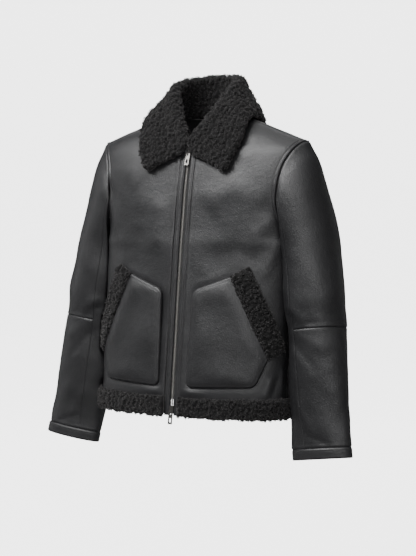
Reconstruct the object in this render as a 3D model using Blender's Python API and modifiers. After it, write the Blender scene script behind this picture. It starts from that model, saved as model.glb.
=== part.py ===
"""A shearling jacket, filled out as if worn: fold-over fur collar, exposed two-way zip, fur hem.

The jacket faces -Y, +X is the wearer's left, +Z is up, and the origin lies between the shoulder
points at the height of the neck, where the wearer's shoulders carry it. Units are metres.
"""
import math

import bmesh
import bpy
import numpy as np
from mathutils import Matrix, Vector

# Driving sizes
WALL = 0.003               # skin and lining of a cut piece
SEAM = 0.0003              # clear gap between two pieces at a seam
ZIP_OPENING = 0.0050       # half the slot in which the zip shows
STRIP_EDGE = 0.0167        # outer edge of the narrow leather strip beside the zip
PANEL_EDGE = STRIP_EDGE + SEAM
HEM_BOTTOM = -0.5970       # lowest line of the fur hem
HEM_TOP = -0.5612          # top line of the fur hem
PANEL_BOTTOM = -0.5940     # the leather ends just inside the fur hem
FUR_DEPTH = 0.0086         # how far the fur trims stand out
TRIM_FOOT = 0.0008         # underside of a fur trim, clear of the flat facets below it
NECK_WIDTH = 0.085         # half the neck hole, side to side
NECK_FRONT = 0.0605        # neck hole, centre to front
NECK_BACK = 0.0750         # neck hole, centre to back
COLLAR_HALF = 0.0052       # half the thickness of the folded collar skin
COLLAR_ROLL = 0.0075       # radius of the collar's fold, at mid thickness
COLLAR_LIFT = 0.0018       # the collar's base stands this far over the neck seam
COLLAR_TUCK = 0.0092       # at the front the base sits this far behind the neck edge
COLLAR_CLEAR = 0.0010      # the falling collar keeps this clear of the shoulders
POINT_CLEAR = 0.0014       # and this much more at its front points
SHARP = math.radians(40)   # faces that meet more sharply than this are shaded apart

# The body, a row for each level: centre front from the hem up, over the shoulder, and down the back.
# middle_y and middle_z lie on the centre line, side_* on the side seam or the armhole, widest_y is
# where the level is widest, and squareness is its exponent (2 is an ellipse).
# middle_y middle_z side_x side_y side_z widest_y squareness
BODY = np.array([
    (-.1335, -.600, .2110, -.043, -.600, -.043, 2.3),
    (-.1300, -.560, .2105, -.040, -.560, -.040, 2.3),
    (-.1240, -.500, .2110, -.035, -.500, -.035, 2.3),
    (-.1170, -.440, .2120, -.028, -.440, -.028, 2.3),
    (-.1070, -.350, .2130, -.015, -.350, -.015, 2.4),
    (-.0985, -.280, .2140, -.004, -.280, -.004, 2.6),
    (-.0955, -.255, .2145, .000, -.255, .000, 2.8),
    (-.0910, -.225, .2075, -.030, -.236, .000, 3.0),
    (-.0840, -.175, .1950, -.055, -.185, .000, 3.2),
    (-.0770, -.135, .1955, -.0565, -.145, .000, 3.2),
    (-.0680, -.095, .2025, -.048, -.105, .000, 3.2),
    (-.0550, -.050, .2165, -.032, -.0735, .000, 3.0),
    (-.0300, .005, .2290, -.014, -.058, .000, 3.0),
    (.0000, .031, .2350, .000, -.055, .000, 3.0),
    (.0550, .016, .2295, .017, -.0575, .000, 3.0),
    (.0900, -.022, .2175, .040, -.072, .000, 2.8),
    (.1100, -.068, .2045, .065, -.100, .000, 2.8),
    (.1210, -.115, .1990, .077, -.140, .000, 2.8),
    (.1270, -.165, .1990, .075, -.185, .000, 2.8),
    (.1300, -.215, .2075, .040, -.236, .000, 2.8),
    (.1290, -.255, .2145, .000, -.255, .000, 2.8),
    (.1280, -.280, .2140, -.004, -.280, -.004, 2.6),
    (.1240, -.350, .2130, -.015, -.350, -.015, 2.5),
    (.1170, -.440, .2120, -.028, -.440, -.028, 2.4),
    (.1140, -.500, .2110, -.035, -.500, -.035, 2.4),
    (.1120, -.560, .2105, -.040, -.560, -.040, 2.4),
    (.1110, -.600, .2110, -.043, -.600, -.043, 2.4),
])
UNDERARM_FRONT = 6.0
SHOULDER = 13.0
UNDERARM_BACK = 20.0
HEM_BACK = 26.0
SHOULDER_FRONT = 12.996    # the fronts end here, just before the shoulder seam
NECK_CORNER = (10.86, 10.95)   # front levels beside the bottom of the neck hole
NECK_LEVELS = (14.33, 14.43, 14.45, 14.70)   # back levels round the back of the neck hole
CENTRE = 1e-6              # a point nearer than this to X = 0 lies on the centre line
ARMHOLE_STEPS = 14         # panel levels along one side of an armhole
PANEL_STEPS = 8            # panel levels from the hem to the underarm
PANEL_SHARES = np.linspace(0, 1, 10)

# The hanging sleeve, a row for each ring from the upper arm to the cuff's edge.
# centre_x centre_y centre_z inner outer front back
SLEEVE = np.array([
    (.2380, .004, -.285, .0560, .0635, .0660, .0680),
    (.2500, -.008, -.363, .0580, .0640, .0600, .0620),
    (.2580, -.015, -.424, .0590, .0640, .0500, .0540),
    (.2705, -.028, -.520, .0600, .0630, .0420, .0460),
    (.2830, -.040, -.610, .0610, .0625, .0320, .0350),
    (.2900, -.047, -.651, .0620, .0625, .0275, .0290),
    (.2935, -.050, -.672, .0620, .0625, .0265, .0275),
])
ELBOW_RING = 3.0           # rings are counted from 0 at the armhole
CUFF_RING = 6.0
LAST_RING = 7.0
FRONT_SEAM = 66.0          # degrees round the sleeve: 0 underarm, 90 front, 180 outside, 270 back
BACK_SEAM = 292.0
UPPER_RINGS = (0, .18, .42, .7, 1, 1.5, 2, 2.5, ELBOW_RING)
LOWER_RINGS = (ELBOW_RING, 3.5, 4, 4.5, 5, 5.5, CUFF_RING)
CUFF_RINGS = (CUFF_RING, 6.5, LAST_RING - .001)
RING_GAP = 0.0035          # half the gap of a seam across the sleeve, in rings
TURN_GAP = 0.16            # half the gap of a seam along the sleeve, in degrees
RING_TILT = (.13, -.12)    # rise of a ring for each metre along X and Y, square to the arm
SLEEVE_ROOM = 0.0012       # a sleeve keeps this clear of the body that presses on it
PRESS_SOFT = 0.0040        # the pressed side bends over this depth
CAP_ROOM = 0.0022          # and this clear beside the curved edge of the armhole
CAP_BULGE = (.15, .40)     # how far the sleeve head swells outward at the underarm, and more on top
CAP_SPREAD = .35           # how far it swells to the front and back
CAP_DROP = -.80            # how far it drops
CAP_PULLS = (.28, .32)     # reach of the sleeve head's curve from its two ends
BODY_REACH = 0.022         # farther off than this, a point has nothing to do with the body
ARMHOLE_CENTRE = np.array([.215, .005, -.155])
# Heights and depths between which a sleeve makes room for the fur below
HEM_ROOM = (.530, .558)
POCKET_ROOM_TOP = (.385, .425)
POCKET_ROOM_BOTTOM = (-.515, -.480)
POCKET_ROOM_FRONT = (.020, .040)
ROOM_SPARE = 0.0020

# The collar, a row for each station from the front point round to the back of the neck.
# turn roll_x roll_y roll_z edge_x edge_y edge_z
COLLAR = np.array([
    (0, .0012, -.0513, -.0635, .0780, -.0790, -.1080),
    (15, .0145, -.0470, -.0440, .0900, -.0780, -.1050),
    (30, .0270, -.0395, -.0250, .1000, -.0740, -.0900),
    (50, .0430, -.0260, .0020, .1150, -.0580, -.0500),
    (70, .0560, -.0110, .0310, .1180, -.0330, -.0095),
    (88, .0620, .0060, .0530, .1140, .0050, .0005),
    (105, .0600, .0260, .0620, .1085, .0410, -.0050),
    (125, .0500, .0460, .0670, .0930, .0720, -.0220),
    (150, .0300, .0630, .0700, .0570, .1030, -.0410),
    (180, .0000, .0700, .0710, .0000, .1130, -.0490),
])
COLLAR_TURNS = (0, 5, 12, 20, 30, 42, 55, 70, 85, 100, 115, 130, 146, 163, 180)
COLLAR_FRONT = (-58, -22)  # turns between which the base comes forward of its tuck
COLLAR_POINT = (-60, -10)  # turns between which the points are held further off
COLLAR_SPREAD = .12        # the front fold leans this much to the side
FOLD_WEIGHT = 8            # weight of the fall's own direction in the fold, away from the front
FOLD_STEPS = (180, 135, 90, 45, 5)
FALL_STEPS = (.2, .4, .6, .8, 1.0)
FALL_PULLS = (.30, .35)    # reach of the falling curve from the fold and from the edge
FALL_SAG = .10

# Pocket corners along the skin from the centre front and in height, with their radii
# along height radius
POCKET = np.array([
    (.1160, -.3200, .0030),
    (.0355, -.3485, .0180),
    (.0310, -.5405, .0120),
    (.1740, -.5360, .0180),
    (.1980, -.4810, .0040),
])
POCKET_FOOT = 0.0008       # underside of the pocket, clear of the flat facets of the front
POCKET_EDGE = 0.0032       # thickness at the edge
POCKET_PUFF = 0.0035       # and this much more in the middle
POCKET_SHARES = (.35, .65, .85, 1.0)
POCKET_SPACING = 0.024     # longest straight side of a facet round the pocket
TRIM_WIDTH = 0.0380        # the fur band on the slanted edge
TRIM_GAP = 0.00045         # gap between the band and the pocket
TRIM_STATIONS = (.0, .015, .06, .2, .35, .5, .65, .8, .94, .985, 1.0)
TRIM_END = .06             # share of the band's length that rounds off at each end
TRIM_END_FILL = .45        # share of its depth that is left at the very end
TRIM_END_TUCK = .16        # and how much narrower it is there
HEM_STATIONS = 13

# Zip hardware
CHAIN_HALF = 0.0028
CHAIN_DEPTH = 0.0022
CHAIN_BACK = 0.0037        # the chain's middle lies this far behind the outer face
TAPE_DEPTH = 0.0008
SLIDER_HALF = 0.0044
SLIDER_LONG = 0.0150
SLIDER_DEPTH = 0.0064
WEDGE_SIZE = (.0048, SLIDER_DEPTH - .001, .0045)   # joins the slider's two plates at its nose
WEDGE_INSET = 0.0027
ARCH_RADIUS = 0.0022       # the bridge is round about the pull's axis, at mid wire
ARCH_WIRE = 0.0008
ARCH_REACH = 0.0014        # from the pull's axis back to the slider's face
ARCH_ROOT = 0.0020         # the bridge's feet go this far into the slider
SLIDER_SINK = ARCH_REACH + SLIDER_DEPTH / 2
PULL_LONG = 0.0255
PULL_HALF = 0.0047
PULL_THICK = 0.0014
PULL_CORNER = 0.0012
PULL_LEAN = 0.07           # the hanging pull leans this much more than the zip under it
WINDOW_HALF = 0.0014       # the window round the bridge
WINDOW_ROOM = 0.0012
WINDOW_CORNER = 0.0003
SLOT_HALF = 0.0022         # the slot near the pull's lower end
SLOT_TOP = -0.0125
SLOT_BOTTOM = -0.0205
SLOT_CORNER = 0.0006
ZIP_STATIONS = 21
TAPE_TUCK = 0.0010         # the tape ends this far inside the strip's outer edge
TAPE_RAISE = 0.0020        # and this far over its lower end
STRIP_RISE = 0.0040        # the strip starts this far over the tape
SLOPE_SPAN = 0.0160        # the zip's lean is measured over this height
ZIP_TOP = -0.0680
TOP_SLIDER = -0.0752       # centre height of the top slider
BOTTOM_SLIDER = -0.5860
PULL_DROP = 0.0043         # the pull's axis lies this far under its slider's centre

LEATHER = ((.030, .030, .031), .46, 0.0)
FUR = ((.014, .013, .013), .95, 0.0)
METAL = ((.42, .41, .40), .32, 1.0)
TAPE = ((.020, .020, .021), .85, 0.0)


def clear_scene():
    """Start with nothing in the scene."""
    for item in list(bpy.data.objects):
        bpy.data.objects.remove(item, do_unlink=True)


def make_collection(name):
    """A new collection in the scene."""
    group = bpy.data.collections.new(name)
    bpy.context.scene.collection.children.link(group)
    return group


def make_material(name, finish):
    """A Principled material from a colour, a roughness and a metallic value."""
    colour, roughness, metallic = finish
    material = bpy.data.materials.new(name)
    material.use_nodes = True
    shader = material.node_tree.nodes["Principled BSDF"]
    shader.inputs["Base Color"].default_value = (*colour, 1.0)
    shader.inputs["Roughness"].default_value = roughness
    shader.inputs["Metallic"].default_value = metallic
    return material


def link(name, mesh, group, finish):
    """Put a mesh in the scene as a named sub-part with its own material."""
    item = bpy.data.objects.new(name, mesh)
    mesh.materials.append(make_material(name, finish))
    group.objects.link(item)
    return item


def curve_rows(table, place):
    """The table's values at a place counted in rows, on a smooth curve through the rows."""
    padded = np.vstack([2 * table[0] - table[1], table, 2 * table[-1] - table[-2]])
    row = int(np.clip(math.floor(place), 0, len(table) - 2))
    f = place - row
    p0, p1, p2, p3 = padded[row:row + 4]
    return .5 * (2 * p1 + (p2 - p0) * f + (2 * p0 - 5 * p1 + 4 * p2 - p3) * f ** 2
                 + (3 * p1 - p0 - 3 * p2 + p3) * f ** 3)


def curve_at(table, value):
    """The rest of the table's columns at a value of its first column, on a smooth curve."""
    places = np.linspace(0, len(table) - 1, 241)
    samples = np.array([curve_rows(table, place) for place in places])
    return np.array([np.interp(value, samples[:, 0], samples[:, c]) for c in range(1, table.shape[1])])


def neck_x(middle_y):
    """Half the neck hole's width where a level's middle lies at this depth."""
    reach = NECK_FRONT if middle_y < 0 else NECK_BACK
    return NECK_WIDTH * math.sqrt(max(0.0, 1 - (middle_y / reach) ** 2))


def level_points(level, shares, start=None):
    """Points of one body level: share 0 lies on its inner edge and share 1 on its side edge."""
    middle_y, middle_z, side_x, side_y, side_z, widest_y, square = curve_rows(BODY, level)
    if level <= UNDERARM_FRONT or level >= UNDERARM_BACK:
        side_y = widest_y
    reach = widest_y - middle_y
    if abs(reach) < 1e-7:
        reach = math.copysign(1e-7, reach)
    edge = np.clip((widest_y - side_y) / reach, 0, .97)
    full = side_x / (1 - edge ** square) ** (1 / square)
    if start is None:
        start = PANEL_EDGE if level < SHOULDER else 0.0
        start = max(start, neck_x(middle_y))
    first = math.asin((start / full) ** (square / 2))
    side_gap = SEAM / 2 / abs(reach) if level <= UNDERARM_FRONT or level >= UNDERARM_BACK else 0.0
    last = math.acos(min(1.0, edge + side_gap) ** (square / 2))
    turn = first + (last - first) * np.asarray(shares, float)
    x = full * np.sin(turn) ** (2 / square)
    y = widest_y - reach * np.cos(turn) ** (2 / square)
    z = middle_z + (side_z - middle_z) * x / side_x
    return np.stack([x, y, z], -1)


def surface_grid(function, rows, columns, step=1e-3):
    """A grid of points of a surface and its unit normals, measured with small steps."""
    columns = np.asarray(columns, float)
    low = np.maximum(columns - step, columns.min())
    high = np.minimum(columns + step, columns.max())
    points = np.array([function(row, columns) for row in rows])
    along = np.array([function(row + step, columns) - function(row - step, columns) for row in rows])
    across = np.array([function(row, high) - function(row, low) for row in rows])
    normals = np.cross(across, along)
    normals /= np.linalg.norm(normals, axis=-1)[..., None]
    return points, normals


def grid_faces(rows, columns, wrap, first):
    """Quads of a grid whose points start at index first; wrap closes it across its columns."""
    count = columns if wrap else columns - 1
    faces = []
    for r in range(rows - 1):
        for c in range(count):
            d = (c + 1) % columns
            faces.append((first + r * columns + c, first + r * columns + d,
                          first + (r + 1) * columns + d, first + (r + 1) * columns + c))
    return faces


def shell_mesh(name, outer, inner, wrap=False, side=1, open_rows=None):
    """A closed wall between two grids of points; open_rows leaves the first column open there."""
    rows, columns = outer.shape[:2]
    points = np.concatenate([outer.reshape(-1, 3), inner.reshape(-1, 3)])
    points = points * np.array([side, 1, 1])
    second = rows * columns
    faces = grid_faces(rows, columns, wrap, 0)
    faces += [face[::-1] for face in grid_faces(rows, columns, wrap, second)]
    for r in (0, rows - 1):
        for c in range(columns if wrap else columns - 1):
            d = (c + 1) % columns
            a, b = r * columns + c, r * columns + d
            faces.append((a, b, second + b, second + a))
    if not wrap:
        for c in (0, columns - 1):
            for r in range(rows - 1):
                if c == 0 and open_rows is not None and open_rows[r] and open_rows[r + 1]:
                    continue
                a, b = r * columns + c, (r + 1) * columns + c
                faces.append((a, b, second + b, second + a))
    mesh = bpy.data.meshes.new(name)
    mesh.from_pydata([tuple(p) for p in points], [], faces)
    finish_mesh(mesh)
    return mesh


def finish_mesh(mesh):
    """Turn all faces outward and shade them smooth up to a sharp edge."""
    work = bmesh.new()
    work.from_mesh(mesh)
    bmesh.ops.recalc_face_normals(work, faces=work.faces)
    work.to_mesh(mesh)
    work.free()
    mesh.shade_smooth()
    mesh.set_sharp_from_angle(angle=SHARP)


def mirror_half(item):
    """Close a half that is open at the plane X = 0."""
    mirror = item.modifiers.new("Mirror", "MIRROR")
    mirror.use_axis[0] = True
    mirror.use_clip = True
    mirror.use_mirror_merge = True
    mirror.merge_threshold = 0.0001


LOW_LEVELS = np.linspace(-.2, UNDERARM_FRONT, 400)
LOW_HEIGHTS = np.array([curve_rows(BODY, level)[1] for level in LOW_LEVELS])


def level_at_height(height):
    """The front level, below the underarm, that lies at this height."""
    return float(np.interp(height, LOW_HEIGHTS, LOW_LEVELS))


def panel_levels():
    """Levels of a front panel from its hem: evenly to the underarm, then along the armhole."""
    low = np.linspace(level_at_height(PANEL_BOTTOM), UNDERARM_FRONT, PANEL_STEPS)
    high = np.linspace(UNDERARM_FRONT, SHOULDER_FRONT, ARMHOLE_STEPS + 1)[1:]
    return np.concatenate([low, high])


def front_panel(group, side, name):
    """A front: from the strip beside the zip to the side seam, armhole and shoulder seam."""
    levels = np.unique(np.concatenate([panel_levels(), NECK_CORNER]))
    outer, normals = surface_grid(level_points, levels, PANEL_SHARES)
    normals[-1, :, 1] = 0
    normals[levels <= UNDERARM_FRONT, -1, 1] = 0
    inner = outer - normals * WALL
    link(name, shell_mesh(name, outer, inner, side=side), group, LEATHER)


def back_panel(group):
    """The back in one piece, from side seam to side seam."""
    levels = np.unique(np.concatenate([HEM_BACK - panel_levels(), NECK_LEVELS]))
    outer, normals = surface_grid(level_points, levels, PANEL_SHARES)
    whole = outer[:, 0, 0] < CENTRE
    normals[whole, 0, 0] = 0
    normals[0, :, 1] = 0
    normals[levels >= UNDERARM_BACK, -1, 1] = 0
    inner = outer - normals * WALL
    item = link("back", shell_mesh("back", outer, inner, open_rows=whole), group, LEATHER)
    mirror_half(item)


def body_side(y, z):
    """How far out the body reaches at this depth and height, below the underarm."""
    level = level_at_height(z)
    if y > curve_rows(BODY, level)[5]:
        level = HEM_BACK - level
    middle_y, _, side_x, _, _, widest_y, square = curve_rows(BODY, level)
    share = min(1.0, abs((y - widest_y) / (widest_y - middle_y)))
    return side_x * (1 - share ** square) ** (1 / square)


def ramp(value, low, high):
    """0 below low, 1 above high, smooth between."""
    f = min(1.0, max(0.0, (value - low) / (high - low)))
    return f * f * (3 - 2 * f)


def trim_room(y, z):
    """Room that a sleeve leaves for the fur hem and the fur band of the pocket."""
    hem = ramp(-z, *HEM_ROOM)
    band = ramp(-z, *POCKET_ROOM_TOP) * ramp(z, *POCKET_ROOM_BOTTOM) * ramp(-y, *POCKET_ROOM_FRONT)
    return (FUR_DEPTH + ROOM_SPARE) * max(hem, band)


def ring_point(row, turn):
    """A point of a hanging sleeve's ring, square to the arm and pressed in by the body."""
    centre_x, centre_y, centre_z, inner, outer, front, back = row
    c, s = math.cos(turn), math.sin(turn)
    x = centre_x - (inner if c > 0 else outer) * c
    y = centre_y - (front if s > 0 else back) * s
    z = centre_z + RING_TILT[0] * (x - centre_x) + RING_TILT[1] * (y - centre_y)
    near = body_side(y, z) + SLEEVE_ROOM + trim_room(y, z)
    if x < near + PRESS_SOFT:
        x = near + PRESS_SOFT * math.exp((x - near - PRESS_SOFT) / PRESS_SOFT)
    return np.array([x, y, z])


def armhole_point(turn):
    """A point on the armhole edge, just outside the panels; turn 0 is the underarm."""
    level = UNDERARM_FRONT + (UNDERARM_BACK - UNDERARM_FRONT) * turn / (2 * math.pi)
    row = curve_rows(BODY, level)
    return np.array([row[2] + SEAM, row[3], row[4]])


def body_samples(levels):
    """Points and normals all over a stretch of the body, for what has to lie clear of it."""
    points, normals = surface_grid(level_points, levels, np.linspace(0, 1, 40))
    return points.reshape(-1, 3), normals.reshape(-1, 3)


def keep_off_body(point, samples, clear):
    """The point, moved straight out from the body where it lies nearer than clear."""
    points, normals = samples
    gaps = ((points - point) ** 2).sum(axis=1)
    near = np.argmin(gaps)
    height = (point - points[near]) @ normals[near]
    if height < clear and gaps[near] < BODY_REACH ** 2:
        point = point + normals[near] * (clear - height)
    return point


SIDE_SAMPLES = body_samples(np.concatenate([np.linspace(4.6, 11, 70), np.linspace(15, 21.4, 70)]))
NECK_SAMPLES = body_samples(np.concatenate([np.linspace(8.5, 12.99, 46), np.linspace(13.01, 17.5, 46)]))


def sleeve_points(ring, turns):
    """Points round a sleeve: ring 0 at the armhole, 1 at the upper arm, then the table's rows."""
    points = []
    for turn in np.asarray(turns, float):
        if ring >= 1:
            points.append(ring_point(curve_rows(SLEEVE, ring - 1), turn))
            continue
        start = armhole_point(turn % (2 * math.pi))
        end = ring_point(SLEEVE[0], turn)
        after = ring_point(curve_rows(SLEEVE, .05), turn)
        down = (after - end) / np.linalg.norm(after - end)
        radial = start - ARMHOLE_CENTRE
        radial /= np.linalg.norm(radial[1:])
        bulge = CAP_BULGE[0] + CAP_BULGE[1] * math.sin(turn / 2) ** 2
        leave = np.array([bulge, CAP_SPREAD * radial[1], CAP_DROP])
        leave /= np.linalg.norm(leave)
        span = np.linalg.norm(end - start)
        a, b = start + leave * span * CAP_PULLS[0], end - down * span * CAP_PULLS[1]
        f = ring
        spot = (start * (1 - f) ** 3 + a * 3 * f * (1 - f) ** 2
                + b * 3 * f ** 2 * (1 - f) + end * f ** 3)
        points.append(keep_off_body(spot, SIDE_SAMPLES, CAP_ROOM * ramp(f, 0, .15)))
    return np.array(points)


def sleeve_grid(rings, turns):
    """Points and outward normals of a part of the sleeve."""
    points = np.array([sleeve_points(ring, turns) for ring in rings])
    step = 1e-3
    normals = np.zeros_like(points)
    for r, ring in enumerate(rings):
        before = sleeve_points(max(0.0, ring - step), turns)
        after = sleeve_points(min(LAST_RING, ring + step), turns)
        left = sleeve_points(ring, turns - step)
        right = sleeve_points(ring, turns + step)
        normals[r] = np.cross(after - before, right - left)
    normals /= np.linalg.norm(normals, axis=-1)[..., None]
    return points, normals


def sleeve_piece(group, name, side, rings, turns, wrap=False):
    """One cut piece of a sleeve."""
    outer, normals = sleeve_grid(rings, turns)
    centre = outer.mean(axis=(0, 1))
    if ((outer - centre) * normals).sum() < 0:
        normals = -normals
    if rings[0] == 0:
        normals[0, :, 0] = np.minimum(normals[0, :, 0], 0)
        normals[0] /= np.linalg.norm(normals[0], axis=-1)[:, None]
    inner = outer - normals * WALL
    link(name, shell_mesh(name, outer, inner, wrap=wrap, side=side), group, LEATHER)


def sleeve_turns(start, end):
    """Angles on the armhole's own steps between two seams, with the seams as ends."""
    step = 360 / (2 * ARMHOLE_STEPS)
    inside = np.arange(math.ceil((start + .01) / step), math.floor((end - .01) / step) + 1) * step
    return np.radians(np.concatenate([[start], inside, [end]]))


def sleeve(group, side, word):
    """Upper piece, forearm piece, under piece and cuff of one sleeve."""
    top = sleeve_turns(FRONT_SEAM + TURN_GAP, BACK_SEAM - TURN_GAP)
    under = sleeve_turns(BACK_SEAM - 360 + TURN_GAP, FRONT_SEAM - TURN_GAP)
    upper = np.array(UPPER_RINGS)
    upper[-1] -= RING_GAP
    forearm = np.array(LOWER_RINGS)
    forearm[0] += RING_GAP
    forearm[-1] -= RING_GAP
    whole = np.array(UPPER_RINGS + LOWER_RINGS[1:])
    whole[-1] -= RING_GAP
    sleeve_piece(group, f"sleeve_upper_{word}", side, upper, top)
    sleeve_piece(group, f"sleeve_forearm_{word}", side, forearm, top)
    sleeve_piece(group, f"sleeve_under_{word}", side, whole, under)
    around = np.radians(np.arange(2 * ARMHOLE_STEPS) * 360 / (2 * ARMHOLE_STEPS))
    band = np.array(CUFF_RINGS)
    band[0] += RING_GAP
    sleeve_piece(group, f"cuff_{word}", side, band, around, wrap=True)


def front_spot(along, height, lift):
    """A point this far round the front from its centre, moved out from the skin by lift."""
    level = level_at_height(height)
    shares = np.linspace(0, 1, 161)
    line = level_points(level, shares, start=0.0)
    run = np.concatenate([[0], np.cumsum(np.linalg.norm(np.diff(line, axis=0), axis=1))])
    tangent = np.gradient(line, run, axis=0)
    point = np.array([np.interp(along, run, line[:, c]) for c in range(3)])
    direction = np.array([np.interp(along, run, tangent[:, c]) for c in range(3)])
    rise = curve_rows(BODY, level + .01)[0] - curve_rows(BODY, level - .01)[0]
    climb = curve_rows(BODY, level + .01)[1] - curve_rows(BODY, level - .01)[1]
    up = np.array([0, rise / climb * (1 - min(1, along / run[-1])), 1])
    normal = np.cross(direction, up)
    normal /= np.linalg.norm(normal)
    return point + normal * lift


def rounded_outline(corners, steps):
    """A closed outline with each corner rounded by its own radius."""
    points = []
    count = len(corners)
    for i in range(count):
        here = corners[i, :2]
        back = corners[i - 1, :2] - here
        ahead = corners[(i + 1) % count, :2] - here
        back /= np.linalg.norm(back)
        ahead /= np.linalg.norm(ahead)
        half = math.acos(np.clip(back @ ahead, -1, 1)) / 2
        radius = corners[i, 2]
        middle = here + (back + ahead) / np.linalg.norm(back + ahead) * radius / math.sin(half)
        start = here + back * radius / math.tan(half) - middle
        end = here + ahead * radius / math.tan(half) - middle
        for f in np.linspace(0, 1, steps):
            spoke = start * (1 - f) + end * f
            points.append(middle + spoke / np.linalg.norm(spoke) * radius)
    return np.array(points)


def pocket_lift(share):
    """How far the pocket's skin stands off at this share of the way from its middle to its edge."""
    return POCKET_EDGE + POCKET_PUFF * (1 - share ** 3)


def pocket(group, side, name):
    """A patch pocket with a soft, slightly filled face."""
    outline = dense_outline(rounded_outline(POCKET, 4), POCKET_SPACING)
    middle = outline.mean(axis=0)
    layers = []
    for foot in (False, True):
        layer = []
        for share in POCKET_SHARES:
            for spot in middle + (outline - middle) * share:
                lift = POCKET_FOOT if foot else pocket_lift(share)
                layer.append(front_spot(spot[0], spot[1], lift))
        lift = POCKET_FOOT if foot else pocket_lift(0)
        layer.append(front_spot(middle[0], middle[1], lift))
        layers.append(np.array(layer))
    count = len(outline)
    rings = len(POCKET_SHARES)
    second = len(layers[0])
    faces = []
    for base in (0, second):
        faces += grid_faces(rings, count, True, base)
        hub = base + rings * count
        faces += [(base + c, base + (c + 1) % count, hub) for c in range(count)]
    rim = (rings - 1) * count
    for c in range(count):
        d = (c + 1) % count
        faces.append((rim + c, rim + d, second + rim + d, second + rim + c))
    points = np.concatenate(layers) * np.array([side, 1, 1])
    mesh = bpy.data.meshes.new(name)
    mesh.from_pydata([tuple(p) for p in points], [], faces)
    finish_mesh(mesh)
    link(name, mesh, group, LEATHER)


def dense_outline(outline, spacing):
    """The outline with its long straight stretches divided."""
    points = []
    for i, here in enumerate(outline):
        ahead = outline[(i + 1) % len(outline)]
        parts = max(1, int(round(np.linalg.norm(ahead - here) / spacing)))
        points += [here + (ahead - here) * k / parts for k in range(parts)]
    return np.array(points)


# Cross-section of a fur trim: share of its width, share of its depth
TRIM_SECTION = ((.0, .0), (.0, .45), (.05, .80), (.16, 1.0), (.5, 1.06), (.84, 1.0), (.95, .80), (1.0, .45),
                (1.0, .0), (.66, .0), (.33, .0))


def trim_mesh(name, spots, side=1, open_ends=(False, False)):
    """A trim as a loft: spots holds, for each station, one point per corner of the section."""
    stations, corners = spots.shape[:2]
    faces = grid_faces(stations, corners, True, 0)
    if not open_ends[0]:
        faces.append(tuple(range(corners))[::-1])
    if not open_ends[1]:
        faces.append(tuple((stations - 1) * corners + c for c in range(corners)))
    mesh = bpy.data.meshes.new(name)
    points = spots.reshape(-1, 3) * np.array([side, 1, 1])
    mesh.from_pydata([tuple(p) for p in points], [], faces)
    finish_mesh(mesh)
    return mesh


def pocket_trim(group, side, name):
    """The fur band along the slanted edge of a pocket."""
    top, bottom = POCKET[0, :2], POCKET[4, :2]
    length = np.linalg.norm(bottom - top)
    down = (bottom - top) / length
    out = np.array([-down[1], down[0]])
    stations = []
    for share in TRIM_STATIONS:
        ends = min(share, 1 - share) / TRIM_END
        round_off = math.sqrt(1 - (1 - min(1, ends)) ** 2)
        fill = TRIM_END_FILL + (1 - TRIM_END_FILL) * round_off
        station = []
        for across, depth in TRIM_SECTION:
            width = TRIM_WIDTH * across * (1 - TRIM_END_TUCK * (1 - fill))
            spot = top + down * length * share + out * (TRIM_GAP + width)
            station.append(front_spot(spot[0], spot[1], TRIM_FOOT + FUR_DEPTH * depth * fill))
        stations.append(station)
    link(name, trim_mesh(name, np.array(stations), side), group, FUR)


def hem_spot(level, share, height, lift):
    """A point of the hem surface at a share of the way from the trim's start to the side seam."""
    bottom = level_at_height(height)
    place = bottom if level == 0 else HEM_BACK - bottom
    start = PANEL_EDGE if level == 0 else 0.0
    shares = np.clip([share - .01, share, share + .01], 0, 1)
    points = level_points(place, shares, start=start)
    tangent = points[2] - points[0]
    normal = np.array([tangent[1], -tangent[0], 0]) * (1 if level == 0 else -1)
    normal /= np.linalg.norm(normal)
    if share == 0 and level == 1:
        normal = np.array([0, 1, 0])
    if share == 1:
        normal = np.array([1, 0, 0])
    return points[1] + normal * lift


def hem_trim(group, side, name, level):
    """The fur band round the hem: level 0 is a front piece and level 1 is half the back."""
    stations = []
    for share in np.linspace(0, 1, HEM_STATIONS):
        station = []
        for across, depth in TRIM_SECTION:
            height = HEM_TOP + (HEM_BOTTOM - HEM_TOP) * across
            station.append(hem_spot(level, share, height, TRIM_FOOT + FUR_DEPTH * depth))
        stations.append(station)
    mesh = trim_mesh(name, np.array(stations), side, open_ends=(level == 1, False))
    item = link(name, mesh, group, FUR)
    if level == 1:
        mirror_half(item)


ZIP_ROWS = np.array([curve_rows(BODY, level)[:2] for level in np.linspace(-.2, 11.5, 400)])


def zip_line(x, height, behind):
    """A point of the centre front at this height, this far behind its outer face."""
    return np.array([x, np.interp(height, ZIP_ROWS[:, 1], ZIP_ROWS[:, 0]) + behind, height])


def zip_bar(name, group, finish, left, right, top, bottom, front, back):
    """A long thin bar down the centre front, between two X values and two depths."""
    stations = []
    for height in np.linspace(top, bottom, ZIP_STATIONS):
        stations.append([zip_line(left, height, front), zip_line(right, height, front),
                         zip_line(right, height, back), zip_line(left, height, back)])
    mesh = trim_mesh(name, np.array(stations))
    link(name, mesh, group, finish)


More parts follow.
